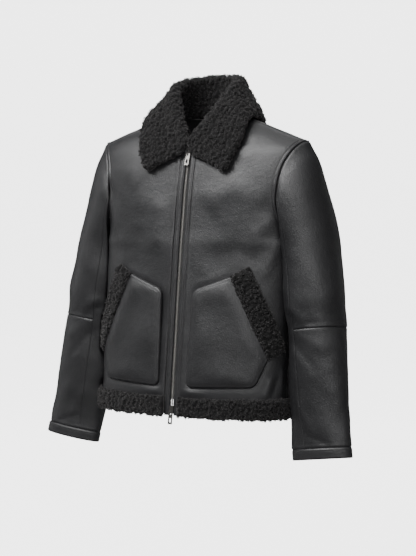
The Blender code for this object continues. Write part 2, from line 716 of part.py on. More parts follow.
def zip_sides(group):
    """The leather strips beside the zip and the tapes behind them."""
    tape_front = WALL + SEAM
    tape_back = tape_front + TAPE_DEPTH
    for side, word in ((1, "left"), (-1, "right")):
        near, far = sorted((side * ZIP_OPENING, side * STRIP_EDGE))
        zip_bar(f"zip_strip_{word}", group, LEATHER, near, far, ZIP_TOP + STRIP_RISE, HEM_BOTTOM,
                0, WALL)
        near, far = sorted((side * (CHAIN_HALF + SEAM), side * (STRIP_EDGE - TAPE_TUCK)))
        zip_bar(f"zip_tape_{word}", group, TAPE, near, far, ZIP_TOP, HEM_BOTTOM + TAPE_RAISE,
                tape_front, tape_back)
    zip_bar("zip_chain", group, METAL, -CHAIN_HALF, CHAIN_HALF, TOP_SLIDER, BOTTOM_SLIDER,
            CHAIN_BACK - CHAIN_DEPTH / 2, CHAIN_BACK + CHAIN_DEPTH / 2)


def box(name, size, place, group):
    """A box from the cube primitive, in its own collection."""
    bpy.ops.mesh.primitive_cube_add(size=1)
    item = bpy.context.active_object
    item.name = name
    item.data.transform(Matrix.Translation(Vector(place)) @ Matrix.Diagonal((*size, 1)))
    for owner in list(item.users_collection):
        owner.objects.unlink(item)
    group.objects.link(item)
    return item


def combine(item, tool, operation):
    """Cut with, or join to, another object that then stays out of the build."""
    change = item.modifiers.new(tool.name, "BOOLEAN")
    change.operation = operation
    change.object = tool
    change.solver = "EXACT"
    tool.hide_render = True
    tool.display_type = "WIRE"


def arch(name, group):
    """The small bridge on a slider's face, round in its middle, that carries the pull."""
    path = [(0, ARCH_REACH + ARCH_ROOT, ARCH_RADIUS)]
    for turn in np.linspace(90, 270, 9):
        a = math.radians(turn)
        path.append((0, ARCH_RADIUS * math.cos(a), ARCH_RADIUS * math.sin(a)))
    path.append((0, ARCH_REACH + ARCH_ROOT, -ARCH_RADIUS))
    curve = bpy.data.curves.new(name, "CURVE")
    curve.dimensions = "3D"
    curve.bevel_depth = ARCH_WIRE
    curve.bevel_resolution = 2
    curve.use_fill_caps = True
    spline = curve.splines.new("POLY")
    spline.points.add(len(path) - 1)
    for knot, spot in zip(spline.points, path):
        knot.co = (*spot, 1)
    tube = bpy.data.objects.new(name + "_curve", curve)
    group.objects.link(tube)
    bpy.context.view_layer.update()
    mesh = bpy.data.meshes.new_from_object(tube.evaluated_get(bpy.context.evaluated_depsgraph_get()))
    bpy.data.objects.remove(tube)
    work = bmesh.new()
    work.from_mesh(mesh)
    bmesh.ops.remove_doubles(work, verts=work.verts, dist=1e-6)
    work.to_mesh(mesh)
    work.free()
    item = bpy.data.objects.new(name, mesh)
    group.objects.link(item)
    return item


def slope_at(height):
    """The lean of the zip at this height, as a turn about X."""
    above = zip_line(0, height + SLOPE_SPAN / 2, 0)
    below = zip_line(0, height - SLOPE_SPAN / 2, 0)
    return math.atan2(above[1] - below[1], SLOPE_SPAN)


def slider(group, cutters, name, height, ahead):
    """A zip slider: two plates and the wedge between them, with its bridge; ahead is where it points."""
    item = box(name, (2 * SLIDER_HALF, SLIDER_DEPTH, SLIDER_LONG), (0, SLIDER_SINK, PULL_DROP), group)
    slot_size = (3 * SLIDER_HALF, CHAIN_DEPTH + 2 * SEAM, 2 * SLIDER_LONG)
    slot = box(name + "_slot", slot_size, (0, SLIDER_SINK, PULL_DROP), cutters)
    nose = PULL_DROP + ahead * (SLIDER_LONG / 2 - WEDGE_INSET)
    wedge = box(name + "_wedge", WEDGE_SIZE, (0, SLIDER_SINK, nose), cutters)
    bridge = arch(name + "_bridge", cutters)
    combine(item, slot, "DIFFERENCE")
    combine(item, wedge, "UNION")
    combine(item, bridge, "UNION")
    spot = zip_line(0, height, CHAIN_BACK)
    lean = slope_at(height)
    place = Matrix.Translation(Vector(spot)) @ Matrix.Rotation(-lean, 4, "X")
    place = place @ Matrix.Translation(Vector((0, -SLIDER_SINK, -PULL_DROP)))
    for piece in (item, slot, wedge, bridge):
        piece.matrix_world = place
    item.data.materials.append(make_material(name, METAL))
    return place


def rounded_box_path(curve, half, top, bottom, radius):
    """Add a rounded rectangle, half wide each way, to a flat curve."""
    corners = np.array([(-half, top, radius), (half, top, radius), (half, bottom, radius),
                        (-half, bottom, radius)])
    outline = rounded_outline(corners, 4)
    spline = curve.splines.new("POLY")
    spline.points.add(len(outline) - 1)
    spline.use_cyclic_u = True
    for knot, spot in zip(spline.points, outline):
        knot.co = (spot[0], spot[1], 0, 1)


def pull(group, name, place, height):
    """A pull tab: a flat plate with a window for the bridge and a slot near its lower end."""
    curve = bpy.data.curves.new(name, "CURVE")
    curve.dimensions = "2D"
    curve.fill_mode = "BOTH"
    curve.extrude = PULL_THICK / 2
    bar = PULL_THICK / 2
    window = -bar - ARCH_RADIUS - ARCH_WIRE - WINDOW_ROOM
    rounded_box_path(curve, PULL_HALF, bar, bar - PULL_LONG, PULL_CORNER)
    rounded_box_path(curve, WINDOW_HALF, -bar, window, WINDOW_CORNER)
    rounded_box_path(curve, SLOT_HALF, SLOT_TOP, SLOT_BOTTOM, SLOT_CORNER)
    flat = bpy.data.objects.new(name + "_flat", curve)
    group.objects.link(flat)
    bpy.context.view_layer.update()
    mesh = bpy.data.meshes.new_from_object(flat.evaluated_get(bpy.context.evaluated_depsgraph_get()))
    bpy.data.objects.remove(flat)
    mesh.name = name
    work = bmesh.new()
    work.from_mesh(mesh)
    bmesh.ops.remove_doubles(work, verts=work.verts, dist=1e-6)
    work.to_mesh(mesh)
    work.free()
    mesh.transform(Matrix.Rotation(math.pi / 2, 4, "X"))
    item = link(name, mesh, group, METAL)
    item.location = place.translation
    item.rotation_euler = (-slope_at(height) - PULL_LEAN, 0, 0)


def collar_station(row):
    """The middle line of the collar's skin at one station: stand, fold and fall."""
    turn, roll, edge = row[0], row[1:4], row[4:7]
    around = math.radians(turn)
    plan = np.array([math.sin(around), -math.cos(around), 0])
    front = ramp(-turn, *COLLAR_FRONT)
    base = neck_point(around) - plan * COLLAR_TUCK * front + np.array([0, 0, COLLAR_LIFT])
    base[0] = max(base[0], roll[0])
    up = roll - base
    rise = np.linalg.norm(up)
    up = up / rise
    out = (edge - roll) * (1 - front) * FOLD_WEIGHT + plan * (1 if turn < 90 else 0)
    out[0] += COLLAR_SPREAD * front
    out = out - up * (out @ up)
    out /= np.linalg.norm(out)
    line = [base, base + up * rise / 2]
    centre = roll + out * COLLAR_ROLL
    for angle in np.radians(FOLD_STEPS):
        line.append(centre + out * COLLAR_ROLL * math.cos(angle) + up * COLLAR_ROLL * math.sin(angle))
    start = line[-1]
    span = np.linalg.norm(edge - start)
    a = start - up * span * FALL_PULLS[0]
    b = edge + (start - edge) * FALL_PULLS[1] + np.array([0, 0, FALL_SAG * span])
    for f in FALL_STEPS:
        line.append(start * (1 - f) ** 3 + a * 3 * f * (1 - f) ** 2 + b * 3 * f ** 2 * (1 - f) + edge * f ** 3)
    return np.array(line)


NECK_ROWS = np.array([curve_rows(BODY, level) for level in np.linspace(10.6, 14.6, 140)])
NECK_EDGE = np.array([neck_x(row[0]) for row in NECK_ROWS])
NECK_RISE = NECK_ROWS[:, 1] + (NECK_ROWS[:, 4] - NECK_ROWS[:, 1]) * NECK_EDGE / NECK_ROWS[:, 2]


def neck_point(turn):
    """A point of the neck seam: turn 0 is the front and 180 degrees the back."""
    depth = -math.cos(turn) * (NECK_FRONT if turn < math.pi / 2 else NECK_BACK)
    return np.array([NECK_WIDTH * math.sin(turn), depth, np.interp(depth, NECK_ROWS[:, 0], NECK_RISE)])


def collar(group):
    """The fold-over collar: one thick skin that stands round the neck and falls over itself."""
    stations = []
    for turn in COLLAR_TURNS:
        row = np.concatenate([[turn], curve_at(COLLAR, turn)])
        line = collar_station(row)
        clear = COLLAR_HALF + COLLAR_CLEAR + POINT_CLEAR * ramp(-turn, *COLLAR_POINT)
        for i in range(len(FOLD_STEPS), len(line)):
            line[i] = keep_off_body(line[i], NECK_SAMPLES, clear)
        stations.append(line)
    middle = np.array(stations)
    middle[-1, :, 0] = 0
    along = np.gradient(middle, axis=0)
    across = np.gradient(middle, axis=1)
    normals = np.cross(across, along)
    normals /= np.linalg.norm(normals, axis=-1)[..., None]
    normals[-1, :, 0] = 0
    normals /= np.linalg.norm(normals, axis=-1)[..., None]
    one, two = middle + normals * COLLAR_HALF, middle - normals * COLLAR_HALF
    mesh = shell_mesh("collar", one.transpose(1, 0, 2)[:, ::-1], two.transpose(1, 0, 2)[:, ::-1],
                      open_rows=np.ones(middle.shape[1], bool))
    item = link("collar", mesh, group, FUR)
    mirror_half(item)


def main():
    """Build the jacket."""
    clear_scene()
    jacket = make_collection("shearling_jacket")
    for side, word in ((1, "left"), (-1, "right")):
        front_panel(jacket, side, f"front_{word}")
        sleeve(jacket, side, word)
        pocket(jacket, side, f"pocket_{word}")
        pocket_trim(jacket, side, f"pocket_trim_{word}")
        hem_trim(jacket, side, f"hem_trim_front_{word}", 0)
    back_panel(jacket)
    hem_trim(jacket, 1, "hem_trim_back", 1)
    zip_sides(jacket)
    cutters = make_collection("cutters")
    for word, height, ahead in (("top", TOP_SLIDER, 1), ("bottom", BOTTOM_SLIDER, -1)):
        place = slider(jacket, cutters, f"slider_{word}", height, ahead)
        pull(jacket, f"pull_{word}", place, height)
    collar(jacket)


main()
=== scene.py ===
"""The looks of the shearling jacket: creased leather, curly fur, seams, stitches and a metal zip.

The jacket faces -Y, +X is the wearer's left and +Z is up. Every piece lies on its solid of the frame.
Units are metres.
"""

import math

import bmesh
import bpy
import numpy as np
from mathutils import Matrix, Vector
from mathutils.kdtree import KDTree


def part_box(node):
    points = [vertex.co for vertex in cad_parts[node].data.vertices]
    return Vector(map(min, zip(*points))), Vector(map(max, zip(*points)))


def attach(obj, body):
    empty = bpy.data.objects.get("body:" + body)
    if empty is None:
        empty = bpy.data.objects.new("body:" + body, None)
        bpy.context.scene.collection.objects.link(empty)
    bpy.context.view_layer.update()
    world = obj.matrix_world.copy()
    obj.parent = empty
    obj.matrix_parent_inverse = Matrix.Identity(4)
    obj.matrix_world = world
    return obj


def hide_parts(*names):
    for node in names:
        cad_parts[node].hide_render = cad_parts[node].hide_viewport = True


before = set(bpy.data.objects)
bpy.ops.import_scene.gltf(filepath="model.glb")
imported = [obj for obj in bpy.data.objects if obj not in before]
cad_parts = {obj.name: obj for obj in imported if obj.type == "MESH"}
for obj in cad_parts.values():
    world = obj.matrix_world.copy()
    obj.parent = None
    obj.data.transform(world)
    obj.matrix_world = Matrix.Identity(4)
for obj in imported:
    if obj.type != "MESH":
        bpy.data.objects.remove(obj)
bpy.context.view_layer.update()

# Sizes shared with the solids
WALL = 0.003
ZIP_OPENING = 0.0050
STRIP_EDGE = 0.0167
PANEL_EDGE = 0.0170
HEM_BOTTOM = -0.5970
HEM_TOP = -0.5612
PANEL_BOTTOM = -0.5940
FUR_DEPTH = 0.0086
NECK_WIDTH = 0.085
NECK_FRONT = 0.0605
NECK_BACK = 0.0750
COLLAR_HALF = 0.0052
COLLAR_ROLL = 0.0075
COLLAR_LIFT = 0.0018
COLLAR_TUCK = 0.0092
TRIM_WIDTH = 0.0380
CHAIN_BACK = 0.0037
TOP_SLIDER = -0.0752
BOTTOM_SLIDER = -0.5860

# The body, a row for each level from the front hem over the shoulder to the back hem
# middle_y middle_z side_x side_y side_z widest_y squareness
BODY = np.array([
    (-.1335, -.600, .2110, -.043, -.600, -.043, 2.3),
    (-.1300, -.560, .2105, -.040, -.560, -.040, 2.3),
    (-.1240, -.500, .2110, -.035, -.500, -.035, 2.3),
    (-.1170, -.440, .2120, -.028, -.440, -.028, 2.3),
    (-.1070, -.350, .2130, -.015, -.350, -.015, 2.4),
    (-.0985, -.280, .2140, -.004, -.280, -.004, 2.6),
    (-.0955, -.255, .2145, .000, -.255, .000, 2.8),
    (-.0910, -.225, .2075, -.030, -.236, .000, 3.0),
    (-.0840, -.175, .1950, -.055, -.185, .000, 3.2),
    (-.0770, -.135, .1955, -.0565, -.145, .000, 3.2),
    (-.0680, -.095, .2025, -.048, -.105, .000, 3.2),
    (-.0550, -.050, .2165, -.032, -.0735, .000, 3.0),
    (-.0300, .005, .2290, -.014, -.058, .000, 3.0),
    (.0000, .031, .2350, .000, -.055, .000, 3.0),
    (.0550, .016, .2295, .017, -.0575, .000, 3.0),
    (.0900, -.022, .2175, .040, -.072, .000, 2.8),
    (.1100, -.068, .2045, .065, -.100, .000, 2.8),
    (.1210, -.115, .1990, .077, -.140, .000, 2.8),
    (.1270, -.165, .1990, .075, -.185, .000, 2.8),
    (.1300, -.215, .2075, .040, -.236, .000, 2.8),
    (.1290, -.255, .2145, .000, -.255, .000, 2.8),
    (.1280, -.280, .2140, -.004, -.280, -.004, 2.6),
    (.1240, -.350, .2130, -.015, -.350, -.015, 2.5),
    (.1170, -.440, .2120, -.028, -.440, -.028, 2.4),
    (.1140, -.500, .2110, -.035, -.500, -.035, 2.4),
    (.1120, -.560, .2105, -.040, -.560, -.040, 2.4),
    (.1110, -.600, .2110, -.043, -.600, -.043, 2.4),
])
UNDERARM_FRONT, NECK_CORNER, SHOULDER, UNDERARM_BACK, HEM_BACK = 6.0, 10.86, 13.0, 20.0, 26.0

# The sleeve, a row for each ring from the upper arm to the cuff's edge
# centre_x centre_y centre_z inner outer front back
SLEEVE = np.array([
    (.2380, .004, -.285, .0560, .0635, .0660, .0680),
    (.2500, -.008, -.363, .0580, .0640, .0600, .0620),
    (.2580, -.015, -.424, .0590, .0640, .0500, .0540),
    (.2705, -.028, -.520, .0600, .0630, .0420, .0460),
    (.2830, -.040, -.610, .0610, .0625, .0320, .0350),
    (.2900, -.047, -.651, .0620, .0625, .0275, .0290),
    (.2935, -.050, -.672, .0620, .0625, .0265, .0275),
])
ELBOW_RING, CUFF_RING = 3.0, 6.0
FRONT_SEAM, BACK_SEAM = 66.0, 292.0
SLEEVE_ROOM, CAP_ROOM, BODY_REACH = 0.0012, 0.0022, 0.022
ARMHOLE_CENTRE = np.array([.215, .005, -.155])

# The collar, a row for each station from the front point to the back of the neck
# turn roll_x roll_y roll_z edge_x edge_y edge_z
COLLAR = np.array([
    (0, .0012, -.0513, -.0635, .0780, -.0790, -.1080),
    (15, .0145, -.0470, -.0440, .0900, -.0780, -.1050),
    (30, .0270, -.0395, -.0250, .1000, -.0740, -.0900),
    (50, .0430, -.0260, .0020, .1150, -.0580, -.0500),
    (70, .0560, -.0110, .0310, .1180, -.0330, -.0095),
    (88, .0620, .0060, .0530, .1140, .0050, .0005),
    (105, .0600, .0260, .0620, .1085, .0410, -.0050),
    (125, .0500, .0460, .0670, .0930, .0720, -.0220),
    (150, .0300, .0630, .0700, .0570, .1030, -.0410),
    (180, .0000, .0700, .0710, .0000, .1130, -.0490),
])

# Pocket corners along the skin from the centre front and in height, with their radii
# along height radius
POCKET = np.array([
    (.1160, -.3200, .0030),
    (.0355, -.3485, .0180),
    (.0310, -.5405, .0120),
    (.1740, -.5360, .0180),
    (.1980, -.4810, .0040),
])


# Curves and surfaces, as the solids have them

def curve_rows(table, place):
    """The table's values at a place counted in rows, on a smooth curve through the rows."""
    padded_table = np.vstack([2 * table[0] - table[1], table, 2 * table[-1] - table[-2]])
    row = int(np.clip(math.floor(place), 0, len(table) - 2))
    f = place - row
    p0, p1, p2, p3 = padded_table[row:row + 4]
    return .5 * (2 * p1 + (p2 - p0) * f + (2 * p0 - 5 * p1 + 4 * p2 - p3) * f ** 2
                 + (3 * p1 - p0 - 3 * p2 + p3) * f ** 3)


def dense(table, low, high, count):
    """Places and rows of a table, close enough together to read between them in straight lines."""
    places = np.linspace(low, high, count)
    return places, np.array([curve_rows(table, place) for place in places])


def read(lookup, places):
    """Rows of a dense table at many places at once."""
    at, rows = lookup
    return np.stack([np.interp(places, at, rows[:, c]) for c in range(rows.shape[1])], -1)


BODY_ROWS = dense(BODY, -.3, HEM_BACK + .3, 2661)
BACK_SHARE = slice(1300, 1600)
BACK_NECK = float(np.interp(NECK_BACK, BODY_ROWS[1][BACK_SHARE, 0], BODY_ROWS[0][BACK_SHARE]))
SLEEVE_ROWS = dense(SLEEVE, 0, len(SLEEVE) - 1, 601)
COLLAR_ROWS = dense(COLLAR, 0, len(COLLAR) - 1, 901)


def ramp(value, low, high):
    """0 below low, 1 above high, smooth between."""
    f = np.clip((np.asarray(value, float) - low) / (high - low), 0, 1)
    return f * f * (3 - 2 * f)


def neck_x(middle_y):
    """Half the neck hole's width where a level's middle lies at this depth."""
    reach = NECK_FRONT if middle_y < 0 else NECK_BACK
    return NECK_WIDTH * math.sqrt(max(0.0, 1 - (middle_y / reach) ** 2))


def level_points(level, shares, start=None):
    """Points of one body level: share 0 lies on its inner edge and share 1 on its side edge."""
    middle_y, middle_z, side_x, side_y, side_z, widest_y, square = curve_rows(BODY, level)
    if level <= UNDERARM_FRONT or level >= UNDERARM_BACK:
        side_y = widest_y
    reach = widest_y - middle_y
    if abs(reach) < 1e-7:
        reach = math.copysign(1e-7, reach)
    edge = np.clip((widest_y - side_y) / reach, 0, .97)
    full = side_x / (1 - edge ** square) ** (1 / square)
    if start is None:
        start = PANEL_EDGE if level < SHOULDER else 0.0
        start = max(start, neck_x(middle_y))
    first = math.asin((start / full) ** (square / 2))
    last = math.acos(min(1.0, edge) ** (square / 2))
    turn = first + (last - first) * np.asarray(shares, float)
    x = full * np.sin(turn) ** (2 / square)
    y = widest_y - reach * np.cos(np.minimum(turn, math.pi / 2)) ** (2 / square)
    z = middle_z + (side_z - middle_z) * x / side_x
    return np.stack([x, y, z], -1)


def grid_normals(points):
    """Unit normals of a grid of points, by its two directions."""
    across = np.gradient(points, axis=1)
    along = np.gradient(points, axis=0)
    normals = np.cross(across, along)
    return normals / np.maximum(np.linalg.norm(normals, axis=-1), 1e-12)[..., None]


def unit(vectors):
    """The vectors at a length of one."""
    return vectors / np.linalg.norm(vectors, axis=-1)[..., None]


def mirror(points, side):
    """Points of the left side, or their reflection on the right."""
    return points * np.array([side, 1, 1])


def point_tree(points):
    """A tree that finds the nearest of these points."""
    tree = KDTree(len(points))
    for i, point in enumerate(points):
        tree.insert(point, i)
    tree.balance()
    return tree


def body_samples(levels):
    """Points and normals over a stretch of the body, in a tree that finds the nearest."""
    points = np.array([level_points(level, np.linspace(0, 1, 60)) for level in levels])
    normals = grid_normals(points).reshape(-1, 3)
    points = points.reshape(-1, 3)
    return points, normals, point_tree(points)


def keep_off_body(points, samples, clear):
    """The points, each moved straight out from the body where it lies nearer than clear."""
    places, normals, tree = samples
    result = points.reshape(-1, 3).copy()
    clear = np.broadcast_to(clear, points.shape[:-1]).reshape(-1)
    for i, point in enumerate(result):
        _, near, gap = tree.find(point)
        if gap > BODY_REACH:
            continue
        height = (point - places[near]) @ normals[near]
        if height < clear[i]:
            result[i] = point + normals[near] * (clear[i] - height)
    return result.reshape(points.shape)


LOW_LEVELS = np.linspace(-.2, UNDERARM_FRONT, 400)
LOW_HEIGHTS = read(BODY_ROWS, LOW_LEVELS)[:, 1]
SIDE_SAMPLES = body_samples(np.concatenate([np.linspace(4.6, 11, 110), np.linspace(15, 21.4, 110)]))
NECK_SAMPLES = body_samples(np.concatenate([np.linspace(8.5, 12.99, 80), np.linspace(13.01, 17.5, 80)]))


def level_at_height(height):
    """The front level, below the underarm, that lies at this height."""
    return np.interp(height, LOW_HEIGHTS, LOW_LEVELS)


def body_side(y, z):
    """How far out the body reaches at each depth and height, below the underarm."""
    front = level_at_height(z)
    level = np.where(y > read(BODY_ROWS, front)[..., 5], HEM_BACK - front, front)
    row = read(BODY_ROWS, level)
    middle_y, side_x, widest_y, square = row[..., 0], row[..., 2], row[..., 5], row[..., 6]
    share = np.clip(np.abs((y - widest_y) / (widest_y - middle_y)), 0, 1)
    return side_x * (1 - share ** square) ** (1 / square)


def trim_room(y, z):
    """Room that a sleeve leaves for the fur hem and the fur band of the pocket."""
    hem = ramp(-z, .530, .558)
    pocket = ramp(-z, .385, .425) * ramp(z, -.515, -.480) * ramp(-y, .020, .040)
    return (FUR_DEPTH + .002) * np.maximum(hem, pocket)


def ring_points(place, turns):
    """A ring of the hanging sleeve, square to the arm and pressed in by the body."""
    centre_x, centre_y, centre_z, inner, outer, front, back = read(SLEEVE_ROWS, place)
    c, s = np.cos(turns), np.sin(turns)
    x = centre_x - np.where(c > 0, inner, outer) * c
    y = centre_y - np.where(s > 0, front, back) * s
    z = centre_z + .13 * (x - centre_x) - .12 * (y - centre_y)
    near = body_side(y, z) + SLEEVE_ROOM + trim_room(y, z)
    soft = .004
    pressed = near + soft * np.exp(np.minimum(0, (x - near - soft) / soft))
    return np.stack([np.where(x < near + soft, pressed, x), y, z], -1)


def bezier(start, a, b, end, f):
    """A point of the curve from start to end, drawn toward a and then b."""
    return start * (1 - f) ** 3 + a * 3 * f * (1 - f) ** 2 + b * 3 * f ** 2 * (1 - f) + end * f ** 3


def sleeve_ring(ring, turns):
    """Points round a sleeve: ring 0 at the armhole, 1 at the upper arm, then the table's rows."""
    if ring >= 1:
        return ring_points(ring - 1, turns)
    around = turns % (2 * math.pi)
    level = UNDERARM_FRONT + (UNDERARM_BACK - UNDERARM_FRONT) * around / (2 * math.pi)
    row = read(BODY_ROWS, level)
    start = np.stack([row[:, 2] + .0003, row[:, 3], row[:, 4]], -1)
    end, after = ring_points(0, turns), ring_points(.05, turns)
    down = after - end
    down /= np.linalg.norm(down, axis=1)[:, None]
    radial = start - ARMHOLE_CENTRE
    radial /= np.linalg.norm(radial[:, 1:], axis=1)[:, None]
    leave = np.stack([.15 + .40 * np.sin(turns / 2) ** 2, .35 * radial[:, 1], np.full(len(turns), -.80)], -1)
    leave /= np.linalg.norm(leave, axis=1)[:, None]
    span = np.linalg.norm(end - start, axis=1)[:, None]
    a, b = start + leave * span * .28, end - down * span * .32
    f = ring
    points = bezier(start, a, b, end, f)
    return keep_off_body(points, SIDE_SAMPLES, CAP_ROOM * ramp(f, 0, .15))


def front_spots(along, heights, lift):
    """Points this far round the front from its centre, moved out from the skin by lift."""
    heights = np.asarray(heights, float)
    shares = np.linspace(0, 1, 161)
    points = np.zeros(heights.shape + (3,))
    for i in np.ndindex(heights.shape):
        level = float(level_at_height(heights[i]))
        line = level_points(level, shares, start=0.0)
        run = np.concatenate([[0], np.cumsum(np.linalg.norm(np.diff(line, axis=0), axis=1))])
        tangent = np.gradient(line, run, axis=0)
        point = np.array([np.interp(along[i], run, line[:, c]) for c in range(3)])
        direction = np.array([np.interp(along[i], run, tangent[:, c]) for c in range(3)])
        low, high = read(BODY_ROWS, level - .01), read(BODY_ROWS, level + .01)
        lean = (high[0] - low[0]) / (high[1] - low[1])
        up = np.array([0, lean * (1 - min(1, along[i] / run[-1])), 1])
        normal = np.cross(direction, up)
        points[i] = point + normal / np.linalg.norm(normal) * lift[i]
    return points


NECK_ROWS = read(BODY_ROWS, np.linspace(10.6, 14.6, 140))
NECK_EDGE = np.array([neck_x(row[0]) for row in NECK_ROWS])
NECK_RISE = NECK_ROWS[:, 1] + (NECK_ROWS[:, 4] - NECK_ROWS[:, 1]) * NECK_EDGE / NECK_ROWS[:, 2]


def neck_point(turn):
    """A point of the neck seam: turn 0 is the front and 180 degrees the back."""
    depth = -math.cos(turn) * (NECK_FRONT if turn < math.pi / 2 else NECK_BACK)
    return np.array([NECK_WIDTH * math.sin(turn), depth, np.interp(depth, NECK_ROWS[:, 0], NECK_RISE)])


def collar_line(turn, stand, fold, fall):
    """The middle of the collar's skin at one station: stand, fold and fall, with so many points each."""
    rows = COLLAR_ROWS[1]
    row = np.array([np.interp(turn, rows[:, 0], rows[:, c]) for c in range(1, 7)])
    roll, edge = row[:3], row[3:]
    around = math.radians(turn)
    plan = np.array([math.sin(around), -math.cos(around), 0])
    front = float(ramp(-turn, -58, -22))
    base = neck_point(around) - plan * COLLAR_TUCK * front + np.array([0, 0, COLLAR_LIFT])
    base[0] = max(base[0], roll[0])
    up = roll - base
    rise = np.linalg.norm(up)
    up = up / rise
    out = (edge - roll) * (1 - front) * 8 + plan * (1 if turn < 90 else 0) + np.array([.12, 0, 0]) * front
    out = out - up * (out @ up)
    out /= np.linalg.norm(out)
    line = [base + up * rise * f for f in np.linspace(0, 1, stand, endpoint=False)]
    centre = roll + out * COLLAR_ROLL
    for angle in np.radians(np.linspace(180, 5, fold)):
        line.append(centre + out * COLLAR_ROLL * math.cos(angle) + up * COLLAR_ROLL * math.sin(angle))
    start = line[-1]
    span = np.linalg.norm(edge - start)
    a = start - up * span * .30
    chord = (edge - start) / span
    b = edge - chord * span * .35 + np.array([0, 0, .10 * span])
    for f in np.linspace(0, 1, fall + 1)[1:]:
        line.append(bezier(start, a, b, edge, f))
    line = np.array(line)
    clear = COLLAR_HALF + .0010 + .0014 * float(ramp(-turn, -60, -10))
    line[stand + 3:] = keep_off_body(line[stand + 3:], NECK_SAMPLES, clear)
    return line


# Meshes

def make_object(name, points, faces, material):
    """A smooth mesh object from points and faces."""
    mesh = bpy.data.meshes.new(name)
    mesh.from_pydata(np.asarray(points, float).reshape(-1, 3).tolist(), [], faces)
    mesh.validate()
    mesh.shade_smooth()
    item = bpy.data.objects.new(name, mesh)
    bpy.context.scene.collection.objects.link(item)
    mesh.materials.append(material)
    return item


def quads(rows, columns, wrap=False, first=0):
    """Quads of a grid; wrap closes it across its columns."""
    count = columns if wrap else columns - 1
    r, c = np.meshgrid(np.arange(rows - 1), np.arange(count), indexing="ij")
    d = (c + 1) % columns
    faces = np.stack([r * columns + c, r * columns + d, (r + 1) * columns + d, (r + 1) * columns + c], -1)
    return (faces.reshape(-1, 4) + first).tolist()


def shell(name, outer, normals, material, wall=WALL, wrap=False, flip=False):
    """A closed wall under a grid of points, with its thickness inward."""
    rows, columns = outer.shape[:2]
    second = rows * columns
    points = np.concatenate([outer, outer - normals * wall]).reshape(-1, 3)
    faces = quads(rows, columns, wrap) + [face[::-1] for face in quads(rows, columns, wrap, second)]
    at = np.arange(second).reshape(rows, columns)
    ends = np.stack([at[0], at[-1, ::-1]])
    if wrap:
        ends = np.append(ends, ends[:, :1], axis=1)
    for rim in ends.tolist():
        faces += [(a, second + a, second + b, b) for a, b in zip(rim[:-1], rim[1:])]
    if not wrap:
        for rim in (at[::-1, 0].tolist(), at[:, -1].tolist()):
            faces += [(b, a, second + a, second + b) for a, b in zip(rim[:-1], rim[1:])]
    if flip:
        faces = [face[::-1] for face in faces]
    return make_object(name, points, faces, material)


def run_along(points, axis):
    """Distance along a grid from its first row or column."""
    steps = np.linalg.norm(np.diff(points, axis=axis), axis=-1)
    start = np.zeros_like(np.take(steps, [0], axis=axis))
    return np.concatenate([start, np.cumsum(steps, axis=axis)], axis=axis)


def edge_gaps(points):
    """Distances of each grid point from the first row, last row, first column and last column."""
    down, across = run_along(points, 0), run_along(points, 1)
    return down, down[-1:] - down, across, across[:, -1:] - across


# Relief of the leather

def bell(distance, width):
    """1 at no distance, falling smoothly over width."""
    return np.exp(-(distance / width) ** 2)


def seam_edge(gap):
    """A sewn edge: it dives into the seam and swells a little beside it."""
    return -.0008 * bell(gap, .0017) + .0003 * bell(gap - .0045, .0025)


def welt_edge(gap):
    """A seam with a raised strip beside it, bounded by a stitched groove."""
    plateau = ramp(gap, .0004, .0030) * ramp(-gap, -.0090, -.0064)
    return -.0010 * bell(gap, .0014) + .0011 * plateau - .0005 * bell(gap - .0090, .0016)


def free_edge(gap):
    """A turned and stitched edge."""
    return -.0010 * bell(gap, .0012)


def fold_relief(points, folds):
    """Soft ridges and troughs: each fold runs between two places and fades at its ends."""
    total = np.zeros(points.shape[:-1])
    for x0, y0, z0, x1, y1, z1, width, height in folds:
        start, end = np.array([x0, y0, z0]), np.array([x1, y1, z1])
        axis = end - start
        f = np.clip(((points - start) @ axis) / (axis @ axis), -.15, 1.15)
        gap = np.linalg.norm(points - (start + f[..., None] * axis), axis=-1)
        fade = ramp(f, -.15, .25) * ramp(-f, -1.15, -.75)
        total += height * fade * bell(gap, width)
    return total


def waves(points, seed, size, height):
    """Very soft unevenness of a filled-out skin."""
    rng = np.random.default_rng(seed)
    total = np.zeros(points.shape[:-1])
    for _ in range(6):
        direction = rng.normal(size=3)
        direction *= 2 * math.pi / (size * rng.uniform(.7, 1.6) * np.linalg.norm(direction))
        total += np.sin(points @ direction + rng.uniform(0, 6.28))
    return total * height / 3


def outline_gap(along, height, outline):
    """Signed distance from a closed outline in the pocket's own plane, negative inside."""
    spots = np.stack([along, height], -1)
    best = np.full(along.shape, 9.0)
    inside = np.zeros(along.shape, bool)
    for i in range(len(outline)):
        a, b = outline[i - 1], outline[i]
        edge = b - a
        f = np.clip(((spots - a) @ edge) / (edge @ edge), 0, 1)
        best = np.minimum(best, np.linalg.norm(spots - (a + f[..., None] * edge), axis=-1))
        crossing = (a[1] > height) != (b[1] > height)
        with np.errstate(divide="ignore", invalid="ignore"):
            reach = a[0] + (height - a[1]) * edge[0] / edge[1]
        inside ^= crossing & (along < reach)
    return np.where(inside, -best, best)


def rounded_outline(corners, steps):
    """A closed outline with each corner rounded by its own radius."""
    points = []
    count = len(corners)
    for i in range(count):
        here = corners[i, :2]
        back = corners[i - 1, :2] - here
        ahead = corners[(i + 1) % count, :2] - here
        back = back / np.linalg.norm(back)
        ahead = ahead / np.linalg.norm(ahead)
        half = math.acos(np.clip(back @ ahead, -1, 1)) / 2
        radius = corners[i, 2]
        middle = here + (back + ahead) / np.linalg.norm(back + ahead) * radius / math.sin(half)
        start = here + back * radius / math.tan(half) - middle
        end = here + ahead * radius / math.tan(half) - middle
        for f in np.linspace(0, 1, steps):
            spoke = start * (1 - f) + end * f
            points.append(middle + spoke / np.linalg.norm(spoke) * radius)
    return np.array(points)


